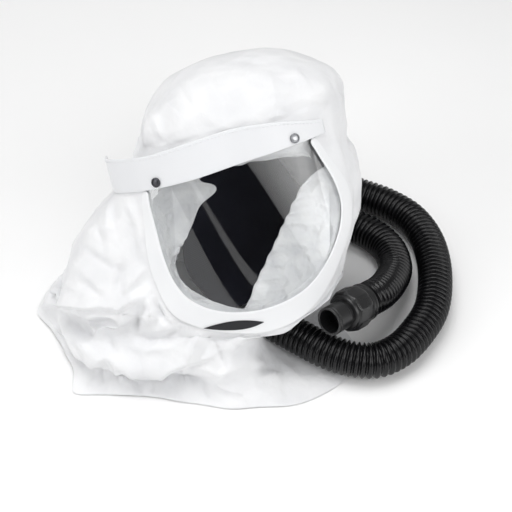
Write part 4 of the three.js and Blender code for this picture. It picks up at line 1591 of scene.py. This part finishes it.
    def label(self) -> None:
        """Bare dark plate: a lens outline on the chin, domed a little."""
        u, v = np.meshgrid(np.linspace(-1.0, 1.0, 49), np.linspace(-1.0, 1.0, 9))
        along = u * self.label_length / 2
        arc = self.label_place[0] + along
        half = np.where(v > 0.0, *self.label_half)
        z = self.label_place[1] + self.label_slope * along + v * half * (1.02 - u**2)
        stand = self.stand_off(arc, z)
        dome = 0.4 * (1.0 - v**2)
        top = self.form.to_part(self.form.front_point(arc, z, stand + 0.5 + dome))
        low = self.form.to_part(self.form.front_point(arc, z, stand + 0.1))
        grid = np.concatenate([top, low[::-1]], axis=0)
        grid = folded(grid.swapaxes(0, 1)).swapaxes(0, 1)
        piece = grid_piece("chin_plate", grid, loop=True, size=(0.064, 0.009), crease=35.0)
        settle(piece, LABEL_PLATE, "label", "chin_label")


@dataclass
class BrowBand:
    """White band over the visor's top edge, its stitching and its two studs.

    Attributes:
        form: The hood's shape.
        ends: Angles where the band begins and ends.
        top: Height of the top edge above the band's middle, at even steps between the ends.
        half_thick: Half thickness of the band.
        stud_angles: Angles of the studs at the wearer's right and left.
        stud_drop: Height of the studs from the band's middle.
        stud_radius: Radius of a stud's head.
        stud_height: Height of a stud's head.
        stitch_pitch: Distance between stitches, in degrees.
    """

    form: HoodForm
    ends: Pair = (-97.5, 52.5)
    top: Row = (18.0, 18.5, 17.0, 19.0, 18.0, 10.0, -4.0)
    half_thick: float = 1.0
    stud_angles: Pair = (-45.0, 34.0)
    stud_drop: float = -12.0
    stud_radius: float = 5.2
    stud_height: float = 2.2
    stitch_pitch: float = 2.1

    def top_edge(self, angle: Array) -> Array:
        """Height of the band's top edge above its middle: a spline between the ends."""
        share = np.clip((angle - self.ends[0]) / (self.ends[1] - self.ends[0]), 0.0, 1.0)
        return spline(np.array(self.top), share.ravel()).reshape(angle.shape)

    def band(self) -> None:
        """Band: a rounded flat section carried round the brow."""
        angle = np.linspace(*self.ends, 200)
        share = np.linspace(0.0, 1.0, len(angle))
        end = np.minimum(1.0, np.sqrt(np.minimum(share, 1.0 - share) / 0.012) + 0.02)[:, None]
        across, high = rounded_loop(36, 0.28)
        middle = 0.5 * (self.top_edge(angle) - self.form.band_half)[:, None]
        half = 0.5 * (self.top_edge(angle) + self.form.band_half)[:, None]
        height = middle + half * across[None] * lerp(0.9, 1.0, end)
        offset = self.half_thick * (1.0 + high[None] * end)
        spread = np.repeat(angle[:, None], len(across), axis=1)
        points = capped(self.form.to_part(self.form.band_point(spread, height, offset)))
        piece = grid_piece("brow_strip", points, wrap=True, size=(0.08, 0.3))
        settle(piece, BAND_PLASTIC, "band", "brow_band")

    def stitches(self) -> None:
        """Row of stitches along the band's top edge: short rounded dashes on its face."""
        angle = np.arange(self.ends[0] + 6.0, self.ends[1] - 3.0, self.stitch_pitch)
        turns = np.linspace(0.0, 2 * np.pi, 6, endpoint=False)
        run, ring = np.meshgrid(np.linspace(-1.0, 1.0, 6), turns, indexing="ij")
        taper = np.sqrt(np.clip(1.0 - run**4, 0.0, 1.0))
        points, parts = [], []
        for k, at in enumerate(angle):
            spot = at + run * self.stitch_pitch * 0.33
            high = self.top_edge(spot) - 3.2 + 0.45 * taper * np.cos(ring)
            out = 2 * self.half_thick + 0.1 + 0.4 * taper * np.sin(ring)
            points.append(self.form.to_part(self.form.band_point(spot, high, out)))
            parts.append(np.arange(run.shape[0] - 1) + k * run.shape[0])
        grid = np.concatenate(points)
        keep = np.zeros((len(grid) - 1, grid.shape[1]), dtype=bool)
        keep[np.concatenate(parts)] = True
        piece = grid_piece("brow_stitches", grid, wrap=True, keep=keep)
        settle(piece, STITCH_THREAD, "band")

    def stud(self, name: str, node: str, angle: float, finish: Finish, middle: Finish) -> None:
        """Rivet head: a turned profile with a rolled edge and a dished middle, and the cap in it.

        Args:
            name: Name of the piece.
            node: Solid that it stands for.
            angle: Its angle on the band.
            finish: Its steel.
            middle: Steel of the cap.
        """
        spots = np.array([angle - 2.0, angle, angle + 2.0])
        seat = self.form.band_point(spots, np.full(3, self.stud_drop), 2 * self.half_thick + 0.2)
        aside = self.form.to_part(seat)
        up = self.form.to_part(np.array([[0.0, 0.0, 1.0], [0.0, 0.0, 0.0]]))
        axis = unit(np.cross(aside[2] - aside[0], up[0] - up[1]))
        r, h = self.stud_radius, self.stud_height
        a = np.linspace(0.0, np.pi, 12)
        roll = [0.86 * r - 0.14 * r * np.cos(a[::-1] + np.pi), 0.6 * h + 0.4 * h * np.sin(a)]
        dish = [np.linspace(0.7, 0.0, 8) * r, (0.62 + 0.12 * np.linspace(0.0, 1.0, 8) ** 2) * h]
        foot = [[0.0, 0.0], [r, 0.0], [r, 0.3 * h]]
        profile = np.concatenate([foot, np.stack(roll, axis=1)[::-1], np.stack(dish, axis=1)])
        piece = grid_piece(name, turned_grid(profile, aside[1], axis, 32), wrap=True, crease=50.0)
        settle(piece, finish, "stud", node)
        lid = [[0.0, 0.45], [0.62, 0.45], [0.62, 0.72], [0.5, 0.86], [0.3, 0.93], [0.0, 0.96]]
        lid = np.array(lid) * [r, h]
        cap = grid_piece(f"{name}_cap", turned_grid(lid, aside[1], axis, 32), wrap=True, crease=50.0)
        settle(cap, middle, "stud")

    def build(self) -> None:
        """Builds the band, its stitches and both studs."""
        self.band()
        self.stitches()
        # The stud at the wearer's right takes the darker copy of the steel: painted shade.
        self.stud("stud_head_right", "stud_right", self.stud_angles[0], SHADED_STUD_STEEL, SHADED_STUD_STEEL)
        self.stud("stud_head_left", "stud_left", self.stud_angles[1], STUD_STEEL, STUD_CAP)


@dataclass
class FaceSeal:
    """Soft white funnel inside the visor, gathered on an elastic edge.

    Attributes:
        form: The hood's shape.
        edge: Points of the elastic edge in the head's frame.
        edge_at: Share of the way round at each of those points.
        top_share: Share of the outer edge that runs under the brow.
        inset: How far the outer edge stays inside the visor's outline.
        behind: Offset of the outer edge behind the hood's face.
        turn_share: Turn of the elastic edge against the outer one.
        sag: How far the funnel sags backwards.
        ruffle: Height of the gathers at the elastic.
        pleat: Height of the creases that run from the elastic outwards.
        waves: Gathers round the edge.
        hem_roll: Radius of the hem over the elastic.
        open_from: Share of the way round from where the funnel is open, up to the brow's corner.
    """

    form: HoodForm
    edge: Table = (
        (13, -52, -21), (-41, -54, -25), (-26, -54, -38), (-49, -54, -55), (-65, -54, -77),
        (-86, -56, -105), (-82, -60, -133), (-31, -70, -171), (-5, -60, -145), (37, -52, -94),
        (64, -50, -60), (84, -50, -37),
    )
    edge_at: Row = (0.0, 0.1, 0.135, 0.165, 0.2, 0.3, 0.4, 0.5, 0.6, 0.7, 0.8, 0.9)
    top_share: float = 0.26
    inset: float = 4.0
    behind: float = -3.6
    turn_share: float = 0.13
    sag: float = 7.0
    ruffle: float = 2.6
    pleat: float = 6.0
    waves: int = 34
    hem_roll: float = 1.3
    open_from: float = 0.94

    def root(self, around: Array) -> Array:
        """Outer edge just behind the visor: along the brow, then round the chin.

        Args:
            around: Shares of the way round.

        Returns:
            Points in the head's frame.
        """
        ends = self.form.visor_edge_at(np.array([1.0, 0.0]), self.inset)
        top = lerp(ends[0], ends[1], np.clip(around / self.top_share, 0.0, 1.0)[:, None])
        below = np.clip((around - self.top_share) / (1 - self.top_share), 0.0, 1.0)
        rest = self.form.visor_edge_at(below, self.inset)
        at = np.where((around < self.top_share)[:, None], top, rest)
        return self.form.front_point(at[:, 0], at[:, 1], self.behind)

    def points(self, around: Array, down: Array) -> Array:
        """Funnel from the outer edge to the elastic, sagging, with gathers that grow towards the elastic.

        Args:
            around: Shares of the way round.
            down: 0 at the outer edge and 1 at the elastic.

        Returns:
            Points in the head's frame.
        """
        root = self.root(around)
        down = down * np.clip(0.7 + 0.3 * around / self.turn_share, 0.7, 1.0)
        knots = np.array([*self.edge_at, 1.0])
        place = np.interp((around - self.turn_share) % 1.0, knots, np.linspace(0.0, 1.0, len(knots)))
        edge = Route(np.array(self.edge, dtype=float), closed=True).at(place)
        wave = np.cos(2 * np.pi * self.waves * around + 2.0 * np.sin(2 * np.pi * 5 * around))
        beat = 0.65 + 0.35 * np.sin(2 * np.pi * 7 * around + 1.0)
        pleat = np.abs((around * 23 + 0.4 * np.sin(2 * np.pi * 3 * around)) % 1.0 - 0.5) - 0.25
        back = self.sag * np.sin(np.pi * down) + self.ruffle * beat * wave * down**2.2
        back = back + self.pleat * pleat * down
        return lerp(root, edge, down[:, None]) + np.stack([0 * back, back, 0.5 * wave * down**3], axis=-1)

    def build(self) -> None:
        """Builds and dresses the funnel, with its hem rolled over the elastic."""
        down, around = np.meshgrid(np.linspace(0.0, 1.0, 36), np.arange(408) / 408.0, indexing="ij")
        grid = self.points(around.ravel(), down.ravel()).reshape(*down.shape, 3)
        free = np.sin(np.pi * np.clip(down, 0.0, 1.0)) ** 0.6
        grid[..., 1] += 1.7 * free * np.abs(crumple(grid, 21, 12, (14.0, 60.0)))
        inward = unit(grid[-1] - grid[-6])
        hem, r, back = [], self.hem_roll, np.array([0.0, 1.0, 0.0])
        for a in np.linspace(0.0, 1.6 * np.pi, 9)[1:]:
            hem.append(grid[-1] + r * np.sin(a) * inward + r * (1.0 - np.cos(a)) * back)
        points = self.form.to_part(np.concatenate([grid, np.stack(hem)]))
        rows, columns = points.shape[:2]
        keep = np.broadcast_to(np.arange(columns) / columns < self.open_from, (rows - 1, columns))
        piece = grid_piece("seal_cloth", points, wrap=True, keep=keep, size=(0.62, 0.045))
        settle(piece, SHADED_SEAL_CLOTH, "seal", "face_seal")


@dataclass
class HeadHarness:
    """Dark textile harness: headband, crown strap, a nape pad that is partly painted shade, and the tabs
    behind the studs.

    Attributes:
        form: The hood's shape.
        band_radii: Radius of the headband every 30 degrees.
        band_half: Half height of the headband.
        band_front: Height of its middle at the front.
        band_drop: How far it drops towards the nape.
        thick: Thickness of the straps.
        strap_half: Half width of the crown strap.
        strap_rise: Height of its top.
        pad: Height, place at the back, half width and forward curl of the nape pad's sections.
        pad_trim: How far the pad's lower corner is cut back on the hose's side.
        tabs: Names of the tabs' solids.
    """

    form: HoodForm
    band_radii: Row = (84, 86, 83, 80, 82, 88.5, 90, 88.5, 82, 80, 83, 86)
    band_half: float = 16.0
    band_front: float = 10.0
    band_drop: float = 32.0
    thick: float = 2.0
    strap_half: float = 12.0
    strap_rise: float = 52.0
    pad: Table = (
        (-18, 84.6, 40, 10.5), (-60, 80, 62, 30), (-100, 70, 76, 44), (-135, 52, 78, 46),
        (-165, 22, 62, 40), (-181, -2, 56, 34),
    )
    pad_trim: float = 5.0
    tabs: Sequence[str] = ("harness_tab_right", "harness_tab_left")

    def band_point(self, angle: Array, height: Array, offset: Array | float) -> Array:
        """Points of the headband: a closed spline, dropping by half its drop times 1 - cos(angle).

        Args:
            angle: Angles in degrees.
            height: Heights from the band's middle.
            offset: Distance outwards from its outer face.

        Returns:
            Points in the head's frame.
        """
        drop = self.band_drop * 0.5 * (1.0 - np.cos(np.radians(angle)))
        radius = ring_spline(self.band_radii, angle) + offset
        return ring_point(radius, angle, self.band_front + height - drop)

    def headband(self) -> None:
        """Closed band of a rounded flat section."""
        angle = np.arange(144) * 2.5
        across, high = rounded_loop(20, 0.35)
        spread = np.repeat(angle[:, None], len(across), axis=1)
        height = np.broadcast_to(self.band_half * across, spread.shape)
        offset = np.broadcast_to(self.thick * 0.5 * (high - 1.0), spread.shape)
        points = self.form.to_part(self.band_point(spread, height, offset))
        piece = grid_piece("headband_web", points, wrap=True, loop=True, size=(0.07, 0.52))
        settle(piece, HARNESS_WEB, "harness", "harness_headband")

    def crown_strap(self) -> None:
        """Strap over the crown: a rounded flat section on a tall arch."""
        a = np.radians(np.linspace(-90.0, 90.0, 81))[:, None]
        across, high = rounded_loop(16, 0.4)
        inside = self.thick * 0.5 * (high[None] - 1.0)
        reach = self.band_radii[3] - self.thick - 1.2 + inside
        foot = self.band_front - self.band_drop / 2 - self.band_half
        climb = self.strap_rise - foot + inside
        x, z = reach * np.sin(a), foot + np.abs(np.cos(a)) ** 0.6 * climb
        y = np.broadcast_to(self.strap_half * across[None], x.shape)
        points = capped(self.form.to_part(np.stack([x, y, z], axis=-1)))
        piece = grid_piece("crown_web", points, wrap=True, size=(0.05, 0.26))
        settle(piece, HARNESS_WEB, "harness", "harness_crown_strap")

    def nape_pad(self) -> None:
        """Wide panel that hangs at the nape and curls forward: x = half u - trim, y = back - curl u^2.

        The trim, beside the hose's inlet, grows with v and with u^2 where u is more than 0.
        """
        # Partly painted shade: the dark pad is sized to fill the view through the opening, where the hood's
        # inside lies in shade.
        table = np.array(self.pad, dtype=float)
        v, u = np.meshgrid(np.linspace(0.0, 1.0, 41), np.linspace(-1.0, 1.0, 61), indexing="ij")
        z, back, half, curl = (spline(c, v.ravel()).reshape(v.shape) for c in table.T)
        trim = self.pad_trim * v * np.clip(u, 0.0, 1.0) ** 2
        front = np.stack([half * u - trim, back - curl * u**2, z], axis=-1)
        puff = 1.6 * np.clip((1.0 - u**6) * (1.0 - (2 * v - 1.0) ** 6), 0.0, 1.0)
        quilt = 0.5 + 0.5 * np.abs(np.sin(v * 5 * np.pi))
        near, far = front.copy(), front.copy()
        near[..., 1] += 1.0 - puff * quilt * 0.6
        far[..., 1] += 1.0 + puff
        grid = np.concatenate([near, far[:, ::-1]], axis=1)
        points = self.form.to_part(folded(grid))
        piece = grid_piece("nape_panel_and_shade", points, wrap=True, size=(0.32, 0.18))
        settle(piece, HARNESS_WEB, "harness", "harness_nape_pad")

    def build(self, nodes: Mapping[str, Piece]) -> None:
        """Builds the headband, crown strap and nape pad, and dresses the tabs' own solids.

        Args:
            nodes: The part's solids by name.
        """
        self.headband()
        self.crown_strap()
        self.nape_pad()
        for name in self.tabs:
            nodes[name].data.materials.clear()
            nodes[name].data.materials.append(HARNESS_WEB.material())


@dataclass
class BreathingHose:
    """Black corrugated hose with its inlet and connector.

    Attributes:
        route: Points of its middle line in the part's frame.
        radius: Outer radius of the rings.
        groove: Depth of the grooves.
        pitch: Distance between rings.
        sides: Points round the hose.
        rows: Rows of points for each ring.
        gap: Distance between neighbouring fittings.
        flats: Grip flats of the collar.
        cuff: Radius and height of the cuff's profile.
        collar: The same of the collar's, with how far each point follows the flats.
        spigot: Radius and height of the spigot's profile.
        ring: Radius and height of the inlet's profile.
    """

    route: Table = (
        (77.65, -59.55, 28), (95.65, -72.55, 26), (117.65, -88.55, 25), (141.65, -105.55, 24.5),
        (167.65, -116.55, 23.5), (195.65, -117.55, 22), (222.65, -101.55, 21), (245.65, -72.55, 21),
        (262.65, -39.55, 21), (270.65, -1.55, 21), (272.65, 42.45, 21), (266.65, 82.45, 21),
        (249.65, 118.45, 21), (221.65, 144.45, 21), (187.65, 163.45, 21), (147.65, 188.45, 21),
        (109.65, 222.45, 21), (67.65, 254.45, 21), (17.65, 264.45, 21), (-28.35, 242.45, 21),
        (-50.35, 198.45, 21), (-32.35, 152.45, 21), (11.65, 128.45, 24), (65.65, 124.45, 26),
        (117.65, 122.45, 25), (161.65, 110.45, 22), (197.65, 92.45, 21), (220.65, 63.45, 21),
        (226.65, 26.45, 25), (216.65, -11.55, 36), (202.65, -39.55, 47), (192.65, -53.05, 53.5),
        (184.65, -61.55, 56),
    )
    radius: float = 20.0
    groove: float = 4.0
    pitch: float = 6.4
    sides: int = 28
    rows: int = 8
    gap: float = 0.35
    flats: int = 10
    cuff: Table = (
        (0, 0), (20.4, 0), (21.5, 0.8), (21.5, 3.2), (20.6, 4.0), (20.6, 5.0), (21.5, 5.8), (21.5, 8.2),
        (20.6, 9.0), (0, 9.0),
    )
    collar: Table = (
        (0, 0, 0), (20.5, 0, 0), (22.4, 0.7, 0.2), (23.2, 2.2, 0.6), (24.0, 4.0, 1), (24.0, 12.0, 1),
        (24.0, 20.0, 1), (23.4, 22.0, 0.7), (22.0, 23.4, 0.3), (20.4, 24.0, 0), (20.2, 25.6, 0),
        (19.4, 26.6, 0), (18.2, 27.0, 0), (0, 27.0, 0),
    )
    spigot: Table = (
        (0, 0), (15.6, 0), (15.6, 4.0), (16.0, 4.6), (16.0, 19.5), (15.4, 20.2), (15.4, 21.0),
        (16.0, 21.7), (16.0, 23.4), (15.5, 24.0), (13.7, 24.0), (13.2, 23.5), (13.2, 3.0), (0, 3.0),
    )
    ring: Table = (
        (0, 0), (20.6, 0), (21.2, 1.2), (21.0, 6.0), (19.2, 20.8), (18.9, 22.0), (18.4, 22.0),
        (18.0, 21.4), (18.0, 3.0), (0, 3.0),
    )

    def line(self) -> Route:
        """Middle line of the hose."""
        return Route(np.array(self.route, dtype=float))

    def shares(self) -> Array:
        """Shares of the middle line's length, one for each row of the mesh."""
        count = int(round(self.line().length() / self.pitch)) * self.rows
        return np.linspace(0.0, 1.0, count + 1)

    def middle(self) -> Array:
        """Points along the middle line, one for each row of the mesh."""
        return self.line().even(self.shares())[0]

    def tube(self) -> Piece:
        """Corrugated tube: rounded rings with narrow grooves, carried along the middle line.

        The radius is the outer one less the groove's depth times (1 - |cos|^1.1) of the place in the pitch.

        Returns:
            The piece.
        """
        middle, along = self.line().even(self.shares())
        side = unit(np.cross(along, np.array([0.0, 0.0, 1.0])))
        up = np.cross(side, along)
        phase = np.arange(len(middle)) / self.rows * np.pi
        radius = self.radius - self.groove * (1.0 - np.abs(np.cos(phase)) ** 1.1)
        a = np.linspace(0.0, 2 * np.pi, self.sides, endpoint=False)
        ring = np.cos(a)[None, :, None] * side[:, None] + np.sin(a)[None, :, None] * up[:, None]
        points = middle[:, None] + radius[:, None, None] * ring
        first, last = (middle[k][None, None].repeat(self.sides, 1) for k in (0, -1))
        points = np.concatenate([first, points, last])
        piece = grid_piece("hose_corrugated", points, wrap=True, size=(0.126, 1.26))
        return settle(piece, HOSE_RUBBER, "hose", "breathing_hose")

    def fitting(
        self,
        name: str,
        node: str,
        profile: Sequence[Row],
        start: Array,
        axis: Array,
        flats: int = 0,
    ) -> Piece:
        """Turned fitting with its own profile and, where it has them, grip flats.

        Args:
            name: Name of the piece.
            node: Solid that it stands for.
            profile: Radius and height of each point and, with grip flats, how far it follows them.
            start: Where its height is 0.
            axis: Direction of its heights.
            flats: Number of grip flats.

        Returns:
            The piece.
        """
        table = np.array(profile, dtype=float)
        sharp = table[:, 2] if flats else None
        grid = turned_grid(table[:, :2], start, axis, 120 if flats else 48, flats, sharp)
        piece = grid_piece(name, grid, wrap=True, crease=32.0)
        return settle(piece, FITTING_PLASTIC, "connector", node)

    def connector(self) -> list[Piece]:
        """Cuff on the hose, collar with grip flats, and the open spigot.

        Returns:
            The three pieces.
        """
        ends, along = self.line().even(np.array([0.0, 1.0]))
        end, axis = ends[1], along[1]
        cuff, collar = self.cuff[-1][1], self.collar[-1][1]
        gaps = np.arange(1, 4) * self.gap + [0.0, cuff, cuff + collar]
        first, second, third = end + gaps[:, None] * axis
        return [
            self.fitting("cuff_ring", "connector_cuff", self.cuff, first, axis),
            self.fitting("collar_grip", "connector_collar", self.collar, second, axis, self.flats),
            self.fitting("spigot_tube", "connector_spigot", self.spigot, third, axis),
        ]

    def inlet(self) -> None:
        """Flanged ring through the cape, with the hose's first end against it."""
        starts, along = self.line().even(np.array([0.0, 1.0]))
        axis = -along[0]
        self.fitting("inlet_ring", "hose_inlet", self.ring, starts[0] + self.gap * axis, axis)

    def build(self) -> None:
        tube = self.tube()
        fittings = self.connector()
        self.inlet()
        middle = self.middle() * MM


# Studio


@dataclass(frozen=True)
class SoftBox:
    """One soft light, placed as seen from the visor.

    Attributes:
        name: Its name.
        azimuth: Degrees from straight ahead of the visor (-Y) towards +X.
        elevation: Degrees above the horizon.
        roll: Turn of its width against the horizon, in degrees.
        away: Distance in metres.
        size: Width and height in metres.
        power: Power in watts.
        fade: Strength at its lower edge against its upper edge.
        soft: Share of its height over which the upper edge dies away.
    """

    name: str
    azimuth: float
    elevation: float
    roll: float
    away: float
    size: Pair
    power: float
    fade: float = 1.0
    soft: float = 0.001

    def place(self, aim: Row) -> None:
        """Sets the light.

        Args:
            aim: Point that it faces, in metres.
        """
        lamp = bpy.data.lights.new(self.name, "AREA")
        lamp.shape = "RECTANGLE"
        lamp.size, lamp.size_y = self.size
        lamp.energy = self.power
        lamp.use_nodes = True
        shade = Shade(lamp.node_tree)
        spot = shade.node("ShaderNodeNewGeometry").outputs["Parametric"]
        high = shade.node("ShaderNodeSeparateXYZ", {0: spot}).outputs["Y"]
        edge = shade.span(high, 0.0, 1.0, 1.0, 1.0 - self.soft)
        glow = shade.times(shade.span(high, self.fade, 1.0), edge)
        shade.feed(lamp.node_tree.nodes["Emission"].inputs["Strength"], glow)
        a, e, r = (math.radians(v) for v in (self.azimuth, self.elevation, self.roll))
        out = np.array([math.cos(e) * math.sin(a), -math.cos(e) * math.cos(a), math.sin(e)])
        east = np.array([math.cos(a), math.sin(a), 0.0])
        wide = math.cos(r) * east + math.sin(r) * np.cross(out, east)
        axes = np.stack([wide, np.cross(out, wide), out], axis=1)
        stand = bpy.data.objects.new(self.name, lamp)
        stand.location = np.array(aim) + out * self.away
        stand.rotation_mode = "QUATERNION"
        stand.rotation_quaternion = Matrix(axes.tolist()).to_quaternion()
        bpy.context.scene.collection.objects.link(stand)


@dataclass
class Studio:
    """Pale floor, soft lights and the camera.

    Attributes:
        view: Where the camera stands.
        angle: Its angle of view in degrees.
        aim: Middle of the visor in metres, which the lights face.
        world: Strength of the light from all round.
        front: Strength of that light low ahead of the visor, where a dark card stands.
        card: Where the card fades out, by how far a direction points back and up.
        lights: The soft lights.
    """

    view: Viewpoint
    angle: float = 20.0
    aim: Row = (0.05, -0.08, 0.165)
    world: float = 0.34
    front: float = 0.03
    card: tuple[Pair, Pair] = ((-0.75, -0.35), (0.58, 0.7))
    lights: tuple[SoftBox, ...] = (
        SoftBox("overhead", -122.0, 80.0, 0.0, 1.95, (1.5, 1.3), 22.5),
        SoftBox("left", -65.0, 23.4, 0.0, 2.11, (1.0, 1.6), 13.0),
        SoftBox("right", 69.4, 22.6, 0.0, 1.91, (0.9, 1.5), 7.5),
        SoftBox("front_right", 34.5, 31.5, -50.0, 2.0, (1.9, 0.95), 28.5, 0.15, 0.35),
        SoftBox("front_strip", -4.5, 18.5, -30.0, 2.0, (1.7, 0.075), 0.27),
        SoftBox("front_low", -12.0, 5.5, -19.0, 2.0, (1.9, 0.5), 2.2),
    )

    def floor(self) -> None:
        """Plain pale floor."""
        reach = np.linspace(-6000.0, 6000.0, 3)
        x, y = np.meshgrid(reach, reach)
        piece = grid_piece("floor", np.stack([x, y, np.zeros_like(x)], axis=-1), size=(12.0, 12.0))
        piece.data.materials.append(FLOOR_PALE.material())

    def light(self) -> None:
        """Light from all round, dark low ahead of the visor so that it stays clear, and the soft lights."""
        world = bpy.data.worlds.new("studio")
        world.use_nodes = True
        shade = Shade(world.node_tree)
        sky = world.node_tree.nodes["Background"]
        seen = shade.node("ShaderNodeTexCoord").outputs["Generated"]
        way = shade.node("ShaderNodeSeparateXYZ", {0: seen})
        aside = shade.span(way.outputs["Y"], 0.0, 1.0, *self.card[0])
        above = shade.span(way.outputs["Z"], 0.0, 1.0, *self.card[1])
        glow = shade.span(shade.math("MAXIMUM", aside, above), self.front, self.world)
        shade.fill(sky, {"Color": (1.0, 1.0, 1.0, 1.0), "Strength": glow})
        bpy.context.scene.world = world
        for box in self.lights:
            box.place(self.aim)

    def camera(self) -> None:
        """Camera at the photograph's angle."""
        lens = bpy.data.cameras.new("camera")
        lens.sensor_width = 36.0
        lens.lens = lens.sensor_width / 2 / math.tan(math.radians(self.angle / 2))
        eye = bpy.data.objects.new("camera", lens)
        eye.location = [v * MM for v in self.view.eye]
        eye.rotation_euler = (math.radians(90.0 - self.view.tilt), 0.0, 0.0)
        bpy.context.scene.collection.objects.link(eye)
        bpy.context.scene.camera = eye

    def build(self) -> None:
        """Sets the floor, the lights, the camera and how light becomes colour."""
        self.floor()
        self.light()
        self.camera()
        bpy.context.scene.view_settings.view_transform = "Standard"


def main() -> None:
    """Builds every piece in order."""
    logging.basicConfig(level=logging.INFO, format="%(name)s %(message)s")
    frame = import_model()
    view, form = Viewpoint(), HoodForm()
    Studio(view).build()
    hose = BreathingHose()
    hose.build()
    HoodCloth(form, view).build(hose.middle())
    visor = Visor(form)
    visor.sheet()
    visor.rim()
    visor.label()
    BrowBand(form).build()
    FaceSeal(form).build()
    HeadHarness(form).build(frame["nodes"])


if __name__ == "__main__":
    main()
